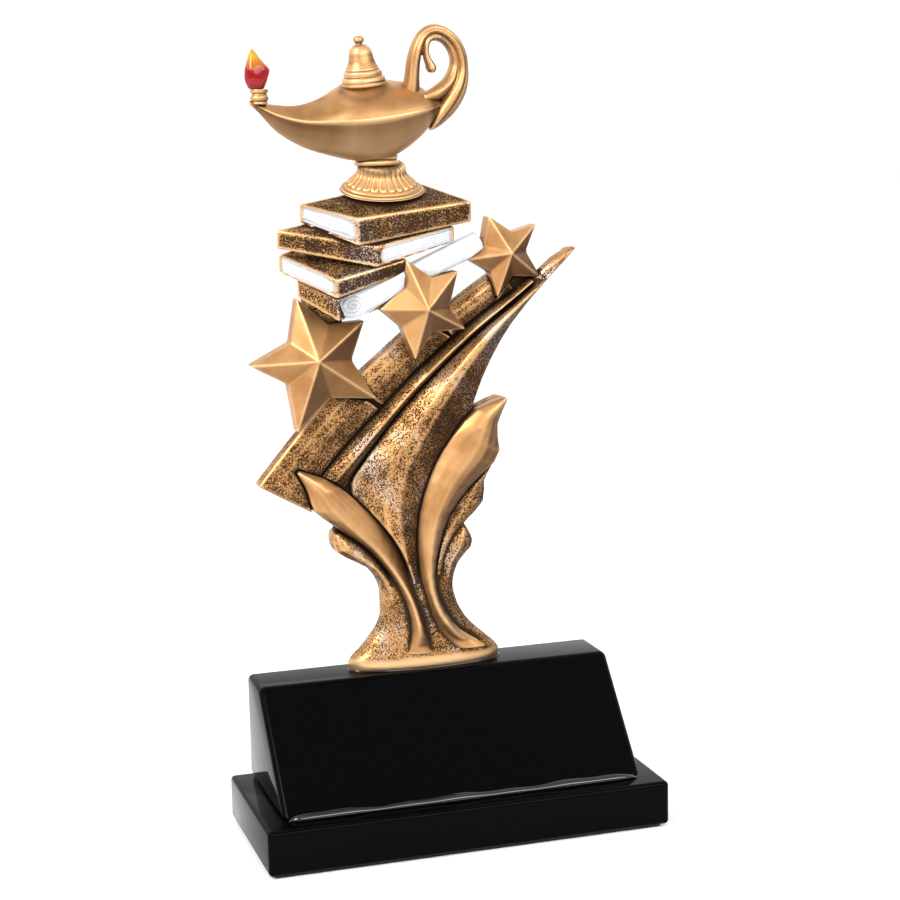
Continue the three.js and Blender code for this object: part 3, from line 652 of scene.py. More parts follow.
def foot_flare():
    depth_middle, half_depth = (foot_back + foot_front) / 2, (foot_front - foot_back) / 2
    bm = long_bar(72, 64)
    for vert in bm.verts:
        across, away, along = vert.co
        far = math.hypot(across, away)
        turn = math.atan2(away, across)
        side = far * signed_power(math.cos(turn), 0.75)
        left, right = along_line(FLARE_LEFT, along), along_line(FLARE_RIGHT, along)
        lip = 0.02 * math.sin(5 * turn) * math.exp(-((along - 0.05) / 0.05) ** 2)
        depth = along_line(FLARE_DEPTH, along) * half_depth
        vert.co = Vector((
            foot_middle + foot_half * ((left + right) / 2 + side * ((right - left) / 2 + lip)),
            -depth_middle + far * signed_power(math.sin(turn), 0.8) * (depth - 0.2),
            along * FLARE_STEP * (len(FLARE_LEFT) - 1),
        ))
    return to_mesh(bm, FIGURE_TO_WORLD)


def fading_low(mesh, low, high):
    """Near the foot the groove darkening, wash and painted shade, fades out: full above high, none
    below low.
    """
    up = (surface(mesh)[0][:, 2] - block_top) / MM
    share = np.clip((up - low) / (high - low), 0, 1)
    store(mesh, "groove", painted_values(mesh, "groove") * share)
    # Below low the lip gets the ridge number: plain gold, brightened like the edges with a painted
    # highlight.
    lip = np.clip(low - up, 0, 1.4)
    store(mesh, "ridge", np.maximum(painted_values(mesh, "ridge"), lip))
    return mesh


bm = copies(*STEM[1:])
bm.from_mesh(foot_flare())
tip_line = [(ribbon_right + x, ribbon_top + up, out) for x, up, out in TIP_LINE]
bm.from_mesh(bent_bar(tip_line, TIP_RADII, 24, 24))
stem_mesh = remeshed(to_mesh(bm), 0.36, 13, swell=0.2)
place("cast_stem", fading_low(paint_shade_and_wear(stem_mesh, set(STEM)), 3.6, 8.0), antique_gold,
      "antique_gold", *STEM)

# %% [markdown]
# ## Leaves
# The two smooth leaves rise from the foot. Their stalks widen again at the bottom, like the bell of a
# trumpet, and run out into the lip of the foot, so each CAD leaf gets a small bell there before the
# remesh. A bell is given by its left and right edge, in shares of the foot's half width, and the
# heights above the block at which those are read.


# %% Leaves
BELL_THICKNESS, STALK_THICKNESS, BELL_SUNK = 1.9, 0.7, 1.5


def stalk_bell(left_edge, right_edge, heights):
    """A flattened bar on the foot's front, thinner upwards; its edges are shares of the foot."""
    bm = long_bar(28, 30)
    for vert in bm.verts:
        across, away, along = vert.co
        left = foot_middle + foot_half * along_line(left_edge, along)
        right = foot_middle + foot_half * along_line(right_edge, along)
        thickness = BELL_THICKNESS + (STALK_THICKNESS - BELL_THICKNESS) * along
        vert.co = Vector((
            (left + right) / 2 + across * (right - left) / 2,
            -(foot_front - BELL_SUNK) + away * thickness,
            along_line(heights, along),
        ))
    return to_mesh(bm, FIGURE_TO_WORLD)


LEAF_BELLS = {
    "left_leaf": ((-0.302, -0.275, -0.247, -0.233, -0.242), (0.068, 0.008, -0.034, -0.057, -0.071),
                  (4.2, 5.6, 7.6, 9.8, 12.5)),
    "right_leaf": ((0.355, 0.281, 0.179, 0.105, 0.04), (0.753, 0.642, 0.475, 0.327, 0.198),
                   (4.4, 6.2, 8.6, 11.4, 14.6)),
}
for name, edges in LEAF_BELLS.items():
    bm = copies(name)
    bm.from_mesh(stalk_bell(*edges))
    mesh = remeshed(to_mesh(bm), 0.3, 9)
    place("smooth_" + name, fading_low(paint_shade_and_wear(mesh, {name}), 4.0, 9.0), smooth_gold,
          "smooth_gold", name)

# %% [markdown]
# ## Stars
# Five arms rise from a rim to ridges that meet in a peak a little off the middle. The arms are not
# alike, as the pattern was carved by hand, so each star is set out by its ten corners, given as
# shares of the half width and half height of its CAD box. Its rim lies a few millimetres behind the
# front of that box, and may lean. The remesh and smoothing soften the rims
# and leave the ridges just rounded. The medium star stands out the furthest, on a stub.

# %% Stars
STARS = {
    "large_star": dict(
        set_back=4.8, rise=5.4, lean_right=0.0, lean_up=-0.17, peak=(0.03, 0.07), corners=(
        (-0.18, 0.97), (0.3, 0.56), (0.88, 0.6), (0.63, 0.03), (0.99, -0.56), (0.25, -0.51),
        (-0.32, -0.98), (-0.41, -0.28), (-0.99, 0.02), (-0.33, 0.33))),
    "medium_star": dict(
        set_back=3.9, rise=4.6, lean_right=-0.1, lean_up=0.0, peak=(-0.04, 0.01), corners=(
        (-0.42, 1.0), (0.16, 0.62), (0.74, 0.72), (0.53, -0.01), (0.88, -0.46), (0.15, -0.48),
        (-0.26, -1.0), (-0.54, -0.34), (-1.0, 0.04), (-0.48, 0.46))),
    "small_star": dict(
        set_back=3.5, rise=4.2, lean_right=-0.1, lean_up=0.0, peak=(0.09, 0.09), corners=(
        (-0.4, 0.99), (0.24, 0.58), (0.88, 0.74), (0.6, 0.1), (0.99, -0.55), (0.22, -0.49),
        (-0.19, -0.99), (-0.38, -0.37), (-0.95, -0.03), (-0.55, 0.28))),
}
STAR_WALL = 4.6                             # from the rim back to the star's rear
CUTTER_FRONT = 40                           # well in front of everything
RIM_LEVEL = {name: figure_box(name)[3] - star["set_back"] for name, star in STARS.items()}


def star_shape(name, grow=1.0, front=None):
    """A star; with a front given, a straight prism from behind the rim out to that distance."""
    star = STARS[name]
    left, right, _, _, bottom, top = figure_box(name)
    middle_x, middle_up = (left + right) / 2, (bottom + top) / 2
    half_x, half_up = (right - left) / 2 * grow, (top - bottom) / 2 * grow

    def corner(share_x, share_up, out):
        x, up = share_x * half_x, share_up * half_up
        if out is None:
            out = RIM_LEVEL[name] + star["lean_right"] * x + star["lean_up"] * up
        return bm.verts.new((middle_x + x, -out, middle_up + up))

    bm = bmesh.new()
    rim = [corner(*spot, front) for spot in star["corners"]]
    if front is None:
        rear = [bm.verts.new(v.co + Vector((0, STAR_WALL, 0))) for v in rim]
        peak = corner(*star["peak"], RIM_LEVEL[name] + star["rise"])
    else:
        rear = [corner(*spot, None) for spot in star["corners"]]
        peak = corner(*star["peak"], front)
    middle = bm.verts.new(sum((v.co for v in rear), Vector()) / len(rear))
    for index in range(10):
        after = (index + 1) % 10
        bm.faces.new((peak, rim[index], rim[after]))
        bm.faces.new((rim[index], rear[index], rear[after], rim[after]))
        bm.faces.new((middle, rear[after], rear[index]))
    return to_mesh(bm, FIGURE_TO_WORLD)


def star_boss(name, radius=5, aside=1, sunk=2):
    """A round stub that carries a star out from the plate behind it."""
    left, right, back, _, bottom, top = figure_box(name)
    bm = long_bar(32, 2)
    bmesh.ops.scale(bm, vec=(radius, radius, RIM_LEVEL[name] - back - sunk), verts=bm.verts)
    bmesh.ops.rotate(bm, cent=(0, 0, 0), matrix=Matrix.Rotation(math.pi / 2, 3, "X"),
                     verts=bm.verts)
    bmesh.ops.translate(bm, vec=((left + right) / 2 + aside, -back, (bottom + top) / 2),
                        verts=bm.verts)
    return to_mesh(bm, FIGURE_TO_WORLD)


for name in STARS:
    bm = bmesh.new()
    bm.from_mesh(star_shape(name))
    if name == "medium_star":
        bm.from_mesh(star_boss(name))
    mesh = remeshed(to_mesh(bm), 0.26, 4)
    place("moulded_" + name, paint_shade_and_wear(mesh, {name}, reach=0.9, ridge_rounds=2), smooth_gold,
          "smooth_gold", name)

# %% [markdown]
# ## Clear of the stars
# The stars stand in front of the books and the paper roll. Where a new piece would poke through a
# star, a cutter takes it away: a prism on the star's outline, from its rim far out to the front.


# %% Star cutters
star_cutters = {name: star_shape(name, grow=1.03, front=CUTTER_FRONT) for name in STARS}


def cut_by(mesh, cutters):
    """What is left of a mesh outside some cutter meshes."""
    tools = []
    for index, cutter in enumerate(cutters):
        tool = bpy.data.objects.new(f"tool_{index}", cutter)
        bpy.context.scene.collection.objects.link(tool)
        tools.append(tool)
    cuts = [("BOOLEAN", {"object": tool, "operation": "DIFFERENCE", "solver": "EXACT"})
            for tool in tools]
    result = with_modifiers(mesh, *cuts)
    for tool in tools:
        bpy.data.objects.remove(tool)
    return result


print("star cutters:", len(star_cutters))

# %% [markdown]
# ## Books
# A book is a tilted slab, given by the four corners of its cover. Each is a share of the CAD cover's
# box across, up and out, followed by the book's thickness there in millimetres. `u` runs along its
# front right edge, `v` along its front left edge and `w` down through the pages. The page
# block is a cube cut into strips, laid along those directions: thin dark dips between the leaves, a
# little unevenness, and the rounded end that lies against the spine.

# %% Page blocks
BOARD = 0.075
BOOKS = {
    "top_book": dict(
        pages_left=True, lines=7, front=(0.302, 0.444, 1, 7.2),
        left=(0, 0.691, 0.639, 4.8), right=(1, 0.648, 0.722, 5.6), back=(0.717, 1, 0, 4.4)),
    "middle_book": dict(
        pages_left=False, lines=5, front=(0.534, 0.333, 1, 5.4),
        left=(0, 0.66, 0.833, 4.9), right=(1, 0.599, 0.679, 4.2), back=(0.739, 1, 0, 4.6)),
    "bottom_book": dict(
        pages_left=True, lines=6, front=(0.402, 0.299, 1, 4.9),
        left=(0, 0.726, 0.579, 4.9), right=(1, 0.567, 0.732, 3.6), back=(0.575, 1, 0, 4.4)),
}
for name, book in BOOKS.items():
    left, right, back, front, bottom, top = figure_box(name + "_cover")
    for key in ("front", "left", "right", "back"):
        across, up, out, thick = book[key]
        book[key] = Vector((left + (right - left) * across, bottom + (top - bottom) * up,
                            back + (front - back) * out, thick))
    print(name, "front corner:", [round(v, 1) for v in book["front"]])


def book_spot(book, u, v, w):
    """A place in a book, in the figure's millimetres: x, minus the reach, and up."""
    near = book["front"].lerp(book["right"], u)
    far = book["left"].lerp(book["back"], u)
    x, up, out, thick = near.lerp(far, v)
    return Vector((x, -out, up - thick * w))


def sliced_cube(along, away, through):
    """A unit cube from 0 to 1 with its edges cut along x, y and z that many times."""
    bm = bmesh.new()
    bmesh.ops.create_cube(bm, size=1)
    bmesh.ops.translate(bm, vec=(0.5, 0.5, 0.5), verts=bm.verts)
    for axis, cuts in enumerate((along, away, through)):
        if cuts == 0:
            continue
        edges = [e for e in bm.edges if abs(abs((e.verts[1].co - e.verts[0].co).normalized()[axis])
                                            - 1) < 1e-3]
        bmesh.ops.subdivide_edges(bm, edges=edges, cuts=cuts, use_grid_fill=True)
    return bm


ROUNDED_END = 2.4                           # mm that the pages' inner end bulges
LEAF_DIP, LEAF_WIDTH = 0.012, 0.022         # shares of the book's width and of its pages


def page_block(book, grow=0.0, seed=1):
    """Pages as a mesh in the frame; x of the cube runs along the open face, y into the book."""
    draw = random.Random(seed)
    lines = [((i + 1) / (book["lines"] + 1) + draw.uniform(-0.03, 0.03), draw.uniform(0.5, 1))
             for i in range(book["lines"])]
    bm = sliced_cube(24, 3, 56) if grow == 0 else sliced_cube(4, 1, 12)
    edge = book["left"] if book["pages_left"] else book["right"]
    length = (edge - book["front"]).xyz.length
    dips = []
    for vert in bm.verts:
        along, away, through = vert.co
        lean = 2 * through - 1
        start = 0.055 + ROUNDED_END / length * (1 - math.sqrt(max(0.0, 1 - lean * lean)))
        dip = 0.0
        if away < 0.01 and grow == 0:
            for middle, depth in lines:
                drift = 0.012 * math.sin(along * 9 + middle * 40)
                dip = max(dip, depth * math.exp(-((through - middle - drift) / LEAF_WIDTH) ** 2))
        far_along = start + along * (0.97 - start)
        inward = 0.02 + 0.9 * away + dip * LEAF_DIP
        down = BOARD + 0.02 + through * (0.96 - 2 * BOARD)
        if grow:
            far_along += (0.06 if along > 0.5 else -1) * grow / length
            inward -= 0.4 if away < 0.5 else 0
            down += (through - 0.5) * 0.06
        u, v = (inward, far_along) if book["pages_left"] else (far_along, inward)
        vert.co = book_spot(book, u, v, down)
        dips.append(dip)
    mesh = to_mesh(bm, FIGURE_TO_WORLD)
    store(mesh, "leaf", dips)
    return mesh


cutters_for = {"top_book": [], "middle_book": [], "bottom_book": [star_cutters["medium_star"]]}
for seed, (name, book) in enumerate(BOOKS.items()):
    pages = cut_by(page_block(book, seed=seed), cutters_for[name])
    place("leaves_of_" + name, paint_shade_and_wear(pages, {name + "_pages"}, reach=0.5), page_white,
          "white_enamel", name + "_pages")

# %% [markdown]
# ## Covers
# A cover is two boards and a spine. It starts as the whole book with its edges bevelled, which the
# remesh softens further. Then a slightly larger page block is cut out of it, so that the cover
# follows the pages round their inner end. The cut comes last, because thin boards tear in a remesh.


# %% Covers
PLAIN_BOOK = (36, 24, 6)                    # mm, so that the bevel is about as wide on all sides
COVER_BEVEL = 0.6


def book_cover(name, book):
    bm = sliced_cube(0, 0, 0)
    bmesh.ops.scale(bm, vec=PLAIN_BOOK, verts=bm.verts)
    bmesh.ops.bevel(bm, geom=bm.edges[:], offset=COVER_BEVEL, segments=4, affect="EDGES",
                    profile=0.5, material=-1, clamp_overlap=True)
    for vert in bm.verts:
        vert.co = book_spot(book, *(value / size for value, size in zip(vert.co, PLAIN_BOOK)))
    softened = remeshed(to_mesh(bm, FIGURE_TO_WORLD), 0.25, 4)
    return cut_by(softened, [page_block(book, grow=0.15), *cutters_for[name]])


for name, book in BOOKS.items():
    own = {name + "_cover", name + "_pages"}
    mesh = paint_shade_and_wear(book_cover(name, book), own, reach=1.0, ridge_turn=0.07, ridge_rounds=6,
                      wash=0.06)
    place("cover_of_" + name, mesh, antique_gold, "antique_gold", name + "_cover")

# %% [markdown]
# ## Rolled paper
# The roll is a slim cone of paper. Its near end shows the turns of the sheet, so the end is a disc
# of fine rings, and each of its points is pushed in by an amount that follows a spiral. Its axis
# runs from the near lower corner of the CAD roll's box to the far upper one, a little inside both.

# %% Rolled paper
left, right, back, front, bottom, top = figure_box("scroll")
ROLL_START = Vector((left + 1.26, -(front - 3.15), bottom + 2.95))
ROLL_END = Vector((right - 0.92, -(back + 2.46), top - 2.3))
ROLL_RADIUS = 3.35
ROLL_END_RADIUS = 2.95
TURN_PITCH = 1.05
OBLIQUE = 0.95                              # how far the near end is cut back towards the front
OBLIQUE_LENGTH = 12                         # mm over which that cut dies out
print("roll length:", round((ROLL_END - ROLL_START).length, 1), "mm")


def paper_roll():
    bm = bmesh.new()
    length = (ROLL_END - ROLL_START).length
    disc = [(0.12 * i, 0.0) for i in range(1, 26)]
    side = [(ROLL_RADIUS, 0.12), (ROLL_RADIUS, 0.5), (ROLL_RADIUS, 2)]
    side += [(ROLL_RADIUS + (ROLL_END_RADIUS - ROLL_RADIUS) * i / 12, 2 + (length - 2) * i / 12)
             for i in range(1, 13)]
    profile = [(0.001, 0.0), *disc, *side, (0.001, length)]
    line = [bm.verts.new((radius, 0, z)) for radius, z in profile]
    edges = [bm.edges.new(pair) for pair in zip(line, line[1:])]
    bmesh.ops.spin(bm, geom=line + edges, cent=(0, 0, 0), axis=(0, 0, 1), angle=2 * math.pi,
                   steps=96, use_merge=True)
    for vert in bm.verts:
        radius = math.hypot(vert.co.x, vert.co.y)
        turn = math.atan2(vert.co.y, vert.co.x) / (2 * math.pi)
        if vert.co.z < 0.05 and radius < ROLL_RADIUS - 0.1:
            phase = (radius / TURN_PITCH - turn) % 1
            groove = math.exp(-((phase - 0.5) / 0.16) ** 2)
            vert.co.z += 0.5 * groove + 0.35 * (1 - radius / ROLL_RADIUS)
        elif vert.co.z < length - 0.1:
            loose = 1 + 0.035 * (((turn + 0.15) % 1) - 0.5)
            vert.co.x *= loose
            vert.co.y *= loose
        if vert.co.z < OBLIQUE_LENGTH:
            fade = 1 - vert.co.z / OBLIQUE_LENGTH
            vert.co.z += OBLIQUE * fade * (vert.co.x + ROLL_RADIUS)
    axis = (ROLL_END - ROLL_START).normalized()
    front = (Vector((0, -1, 0)) - axis * axis.dot((0, -1, 0))).normalized()
    turn_to = Matrix((front, axis.cross(front), axis)).transposed().to_4x4()
    return to_mesh(bm, FIGURE_TO_WORLD @ Matrix.Translation(ROLL_START) @ turn_to)


roll_mesh = cut_by(paper_roll(), star_cutters.values())
place("paper_roll", paint_shade_and_wear(roll_mesh, {"scroll"}, reach=0.8, ridge_rounds=1), paper_white,
      "white_enamel", "scroll")

# %% [markdown]
# ## Turned lamp parts
# Foot, collar, lid, knob and burner are all round about an upright line, so each is a profile spun
# about it. Two changes make them relief work instead of true turnings: they are shallower than they
# are wide, and their level lines fall towards the viewer, so that their tops can be seen.

# %% Spinning a lamp part
bowl_left, bowl_right, bowl_back, bowl_front, bowl_bottom, bowl_top = figure_box("lamp_bowl")
LAMP_DEPTH = (bowl_back + bowl_front) / 2
print("lamp stands", round(LAMP_DEPTH, 2), "mm out from the figure's back")


def lean_forward(bm, slope):
    """Lowers what stands out and lifts what lies back, as on a tilted view of the thing."""
    for vert in bm.verts:
        vert.co.z -= slope * (-vert.co.y - LAMP_DEPTH)


def rounded(profile, steps=5):
    """A smooth line through profile points, by the same sum that Catmull and Rom gave."""
    line = []
    padded = [profile[0], *profile, profile[-1]]
    for a, b, c, d in zip(padded, padded[1:], padded[2:], padded[3:]):
        for step in range(steps):
            t = step / steps
            line.append(tuple(
                0.5 * (2 * q + (r - p) * t + (2 * p - 5 * q + 4 * r - s) * t * t
                       + (3 * q - p - 3 * r + s) * t ** 3)
                for p, q, r, s in zip(a, b, c, d)))
    return [*line, profile[-1]]


def spun(profile, x, depth_share, slope=0.0, steps=96, shape=None, tilt=0.0):
    """Spins a radius and height profile; shape may move each point before the lean."""
    bm = bmesh.new()
    line = [bm.verts.new((max(radius, 0.001), 0, height)) for radius, height in profile]
    edges = [bm.edges.new(pair) for pair in zip(line, line[1:])]
    bmesh.ops.spin(bm, geom=line + edges, cent=(0, 0, 0), axis=(0, 0, 1), angle=2 * math.pi,
                   steps=steps, use_merge=True)
    if shape:
        for vert in bm.verts:
            shape(vert)
    bmesh.ops.scale(bm, vec=(1, depth_share, 1), verts=bm.verts)
    foot = Vector((0, 0, min(height for _, height in profile)))
    bmesh.ops.rotate(bm, cent=foot, matrix=Matrix.Rotation(-tilt, 3, "Y"), verts=bm.verts)
    bmesh.ops.translate(bm, vec=(x, -LAMP_DEPTH, 0), verts=bm.verts)
    lean_forward(bm, slope)
    return to_mesh(bm, FIGURE_TO_WORLD)


# %% [markdown]
# ## Lamp foot
# The foot is a low bell with petals all round. A petal is a shallow swelling that ends in a half
# round below, with a thin groove between it and the next. The lean carries its front below its
# middle and its rear above, so its own bottom and top lie inside those of the CAD box.

# %% Lamp foot
left, right, back, front, bottom, top = figure_box("lamp_foot")
FOOT_X, FOOT_RADIUS = (left + right) / 2, (right - left) / 2
FOOT_DEPTH_SHARE = (front - back) / (right - left)
FOOT_BOTTOM, FOOT_TOP = bottom + 3.72, top - 2.04
PETALS = 24


def petal(vert):
    radius = math.hypot(vert.co.x, vert.co.y)
    if radius < 3 or vert.co.z < FOOT_BOTTOM + 1.0:
        return
    turn = math.atan2(vert.co.y, vert.co.x) / (2 * math.pi) * PETALS % 1 - 0.5
    lower_end = FOOT_BOTTOM + 1.75 + 0.75 * (1 - math.sqrt(max(0.0, 1 - (2.1 * turn) ** 2)))
    inside = min(1.0, max(0.0, (vert.co.z - lower_end) / 0.3))
    swell = inside * math.sqrt(max(0.0, 1 - (2.12 * turn) ** 2))
    share = 1 + 0.42 * (swell - 0.35) / radius
    vert.co.x *= share
    vert.co.y *= share


foot_profile = rounded([
    (0, FOOT_BOTTOM), (FOOT_RADIUS - 0.6, FOOT_BOTTOM), (FOOT_RADIUS, FOOT_BOTTOM + 0.35),
    (FOOT_RADIUS - 0.1, FOOT_BOTTOM + 0.75), (FOOT_RADIUS - 0.75, FOOT_BOTTOM + 0.95),
    (FOOT_RADIUS - 0.9, FOOT_BOTTOM + 1.2), (FOOT_RADIUS - 1.3, FOOT_BOTTOM + 1.6),
    (FOOT_RADIUS * 0.72, FOOT_BOTTOM + 3.0), (FOOT_RADIUS * 0.58, FOOT_BOTTOM + 4.6),
    (FOOT_RADIUS * 0.5, FOOT_TOP + 0.4), (0, FOOT_TOP + 0.4),
], 6)
foot_mesh = spun(foot_profile, FOOT_X, FOOT_DEPTH_SHARE, 0.42, steps=PETALS * 14, shape=petal)
paint_shade_and_wear(foot_mesh, {"lamp_foot"}, reach=0.7, ridge_turn=0.05, ridge_rounds=1)
place("petalled_lamp_foot", foot_mesh, smooth_gold, "smooth_gold", "lamp_foot")

# %% [markdown]
# ## Collar
# Two rings part the foot from the bowl. They too are one profile, spun: a wide ring, a thin one
# above it and a short neck that ends inside the bowl.

# %% Collar
left, right, _, _, bottom, _ = figure_box("lamp_collar")
COLLAR_X, COLLAR_BOTTOM = (left + right) / 2 - 0.1, bottom + 2.43
collar_profile = rounded([
    (0, COLLAR_BOTTOM), (5.3, COLLAR_BOTTOM), (5.95, COLLAR_BOTTOM + 0.35),
    (6.0, COLLAR_BOTTOM + 0.9), (5.5, COLLAR_BOTTOM + 1.25), (5.3, COLLAR_BOTTOM + 1.45),
    (5.6, COLLAR_BOTTOM + 1.65), (5.75, COLLAR_BOTTOM + 2.1), (5.5, COLLAR_BOTTOM + 2.5),
    (4.9, COLLAR_BOTTOM + 2.8), (4.9, COLLAR_BOTTOM + 3.6), (0, COLLAR_BOTTOM + 3.6),
], 5)
collar_mesh = spun(collar_profile, COLLAR_X, 0.75)
paint_shade_and_wear(collar_mesh, {"lamp_collar"}, reach=0.6, ridge_turn=0.05, ridge_rounds=1)
place("ringed_collar", collar_mesh, smooth_gold, "smooth_gold", "lamp_collar")

# %% [markdown]
# ## Lamp bowl
# The bowl is a boat: a row of ribs from spout to handle, each a half ellipse below the rim and a
# flatter one above it. A cylinder lying on its side has the same layout of points, so it is cut
# into many rings and every point is moved to its place on the hull. Beam, sheer and keel are smooth
# lines through a few values each, and the deck rises to a neck under the lid. Below the rim the
# underside is held in deep painted shade.

# %% Lamp bowl
HULL_LEFT, HULL_RIGHT = bowl_left, bowl_right + 3.04
HULL_RIM = bowl_bottom + 15.64
HULL_HALF_DEPTH = (bowl_front - bowl_back) / 2 - 0.04
HULL_HEIGHT, HULL_SLOPE = 15.0, 0.6
DECK_RISE = (0.1, 0.5, 0.7, 1.0, 1.6, 2.0, 2.2, 1.8, 0.2)
lid_left, lid_right, _, _, lid_bottom, lid_top = figure_box("lamp_lid")
LID_X = (lid_left + lid_right) / 2 + 0.3
LID_NECK, LID_NECK_RADIUS = 4.6, 6.2
BEAM = (0.1, 0.28, 0.43, 0.65, 0.96, 1, 0.91, 0.67, 0.1)
SHEER = (0.4, -1.6, -2.6, -1.9, -0.5, 0.1, 0.6, 0.6, -0.8)
KEEL = (0.05, 0.36, 0.56, 0.75, 0.93, 1, 0.89, 0.58, 0.05)


def lamp_bowl():
    bm = long_bar(56, 72)
    for vert in bm.verts:
        across, up, along = vert.co
        beam = along_line(BEAM, along)
        drop = along_line(DECK_RISE, along) if up > 0 else HULL_HEIGHT * along_line(KEEL, along)
        lip = 0.22 * math.exp(-(up / 0.07) ** 2) * min(1, beam * 2)
        vert.co = Vector((
            HULL_LEFT + (HULL_RIGHT - HULL_LEFT) * along,
            -LAMP_DEPTH - across * (HULL_HALF_DEPTH * beam - 0.15 + lip),
            HULL_RIM + along_line(SHEER, along) + up * drop,
        ))
        if up > 0:
            off_lid = math.hypot((vert.co.x - LID_X) * 0.9, (vert.co.y + LAMP_DEPTH) * 1.2)
            vert.co.z += LID_NECK * min(1, up * 2) * math.exp(-(off_lid / LID_NECK_RADIUS) ** 2)
    lean_forward(bm, HULL_SLOPE)
    return to_mesh(bm, FIGURE_TO_WORLD)


def darkened_below(mesh, level, most):
    """Holds at least `most` of the shade on every point that hangs below a level."""
    points, normals, _ = surface(mesh)
    hanging = np.clip(0.8 - normals[:, 2] * 2, 0, 1)
    hanging *= np.clip((level - points[:, 2] / MM) * 0.8 + 0.5, 0, 1)
    store(mesh, "shade", np.maximum(painted_values(mesh, "shade"), hanging * most))
    return mesh


bowl_mesh = paint_shade_and_wear(lamp_bowl(), {"lamp_bowl"}, reach=0.6, ridge_rounds=1)
rim_height = (FIGURE_TO_WORLD @ Vector((0, 0, HULL_RIM))).z / MM
place("boat_bowl", darkened_below(bowl_mesh, rim_height, 0.97), smooth_gold, "smooth_gold",
      "lamp_bowl")

# %% [markdown]
# ## Handle
# The handle is a strap that rises from the stern, curls over and comes down on the deck, with a
# groove along it, and a thinner tendril that curls inside. Both are bent bars. The points of their
# lines are counted from the middle of the CAD handle across and up, and from the figure's back out.


# %% Handle
def strap_section(turn, share):
    """A lengthwise groove on the face towards the viewer, fading out at the ends."""
    fade = min(1, share * 6, (1 - share) * 5)
    depth = math.exp(-((turn - 1.3) / 0.22) ** 2)
    return 1 - 0.2 * fade * depth


left, right, _, _, bottom, top = figure_box("lamp_handle")
handle_middle = ((left + right) / 2, (bottom + top) / 2)


def on_handle(path):
    return [(x + handle_middle[0], up + handle_middle[1], out) for x, up, out in path]


STRAP = [(-2.6, -14.1, 8.4), (-0.4, -11.7, 7.8), (2.6, -8.1, 7.6), (5.1, -4.5, 7.6),
         (6.5, -1.1, 7.6), (6.9, 2.2, 7.6), (6.5, 5.2, 7.6), (5.2, 8, 7.6), (3.2, 10.1, 7.6),
         (1, 11.3, 7.6), (-1, 11.6, 7.6), (-2.8, 11, 7.6), (-4.4, 9.4, 7.6), (-5.7, 6.6, 7.6),
         (-6.5, 3.1, 7.3), (-6.7, -0.5, 6.6), (-6.9, -3.5, 5.8), (-7.2, -5.8, 5.4)]
STRAP_RADII = (0.5, 1.7, 2.5, 2.4, 1.9, 1.5, 1.5, 1.5, 1.5, 1.5, 1.5, 1.5, 1.55, 1.65, 1.8, 1.95,
               2.4, 2.8)
strap_mesh = bent_bar(on_handle(STRAP), STRAP_RADII, 40, 140, strap_section)
CURL = [(-4.4, -5.9, 8.4), (-0.6, -4.7, 8.2), (3, -2.1, 7.4), (4.7, 1.2, 6.8), (5, 3.7, 6.8),
        (4.4, 6.2, 6.8), (3.1, 8.2, 6.9), (1.4, 9.4, 7.2), (-0.4, 9.8, 7.6), (-1.9, 9.5, 8),
        (-2.9, 8.5, 8.2), (-3.3, 6.5, 8.4), (-3.1, 4.6, 8.4), (-2.4, 3, 8.4), (-1.9, 1.7, 8.4),
        (-1.9, 0.6, 8.4)]
CURL_RADII = (1.2, 1.9, 1.8, 1.4, 1.15, 1.1, 1.1, 1.05, 1.0, 0.95, 0.85, 0.8, 0.85, 1.1, 1.35, 0.7)
curl_mesh = bent_bar(on_handle(CURL), CURL_RADII, 28, 120)
bm = bmesh.new()
bm.from_mesh(strap_mesh)
bm.from_mesh(curl_mesh)
handle_mesh = remeshed(to_mesh(bm), 0.18, 3)
place("curled_handle", paint_shade_and_wear(handle_mesh, {"lamp_handle"}, reach=0.5, ridge_rounds=1),
      smooth_gold, "smooth_gold", "lamp_handle")

# %% [markdown]
# ## Lid, knob and burner
# Three more turnings: a bell with two bands, a mushroom on top of it, and a ringed cup for the
# flame.

# %% Lid, knob and burner
LID_FOOT = lid_bottom + 6.93
lid_profile = rounded([
    (0, LID_FOOT - 1.4), (5.2, LID_FOOT - 1.2), (5.7, LID_FOOT), (5.7, LID_FOOT + 0.6),
    (5.4, LID_FOOT + 1.1), (5.0, LID_FOOT + 1.3), (5.05, LID_FOOT + 1.6), (5.0, LID_FOOT + 2.3),
    (4.75, LID_FOOT + 2.7), (4.4, LID_FOOT + 2.9), (4.35, LID_FOOT + 3.2), (4.0, LID_FOOT + 3.9),
    (3.5, LID_FOOT + 5.0), (3.2, LID_FOOT + 6.4), (2.95, LID_FOOT + 7.7), (2.3, LID_FOOT + 8.8),
    (1.2, LID_FOOT + 9.4), (0, LID_FOOT + 9.5),
], 5)
lid_mesh = spun(lid_profile, LID_X, 0.85, 0.1, tilt=0.09)
paint_shade_and_wear(lid_mesh, {"lamp_lid", "lid_knob"}, reach=0.5, ridge_turn=0.05, ridge_rounds=1)
place("banded_lid", lid_mesh, smooth_gold, "smooth_gold", "lamp_lid")

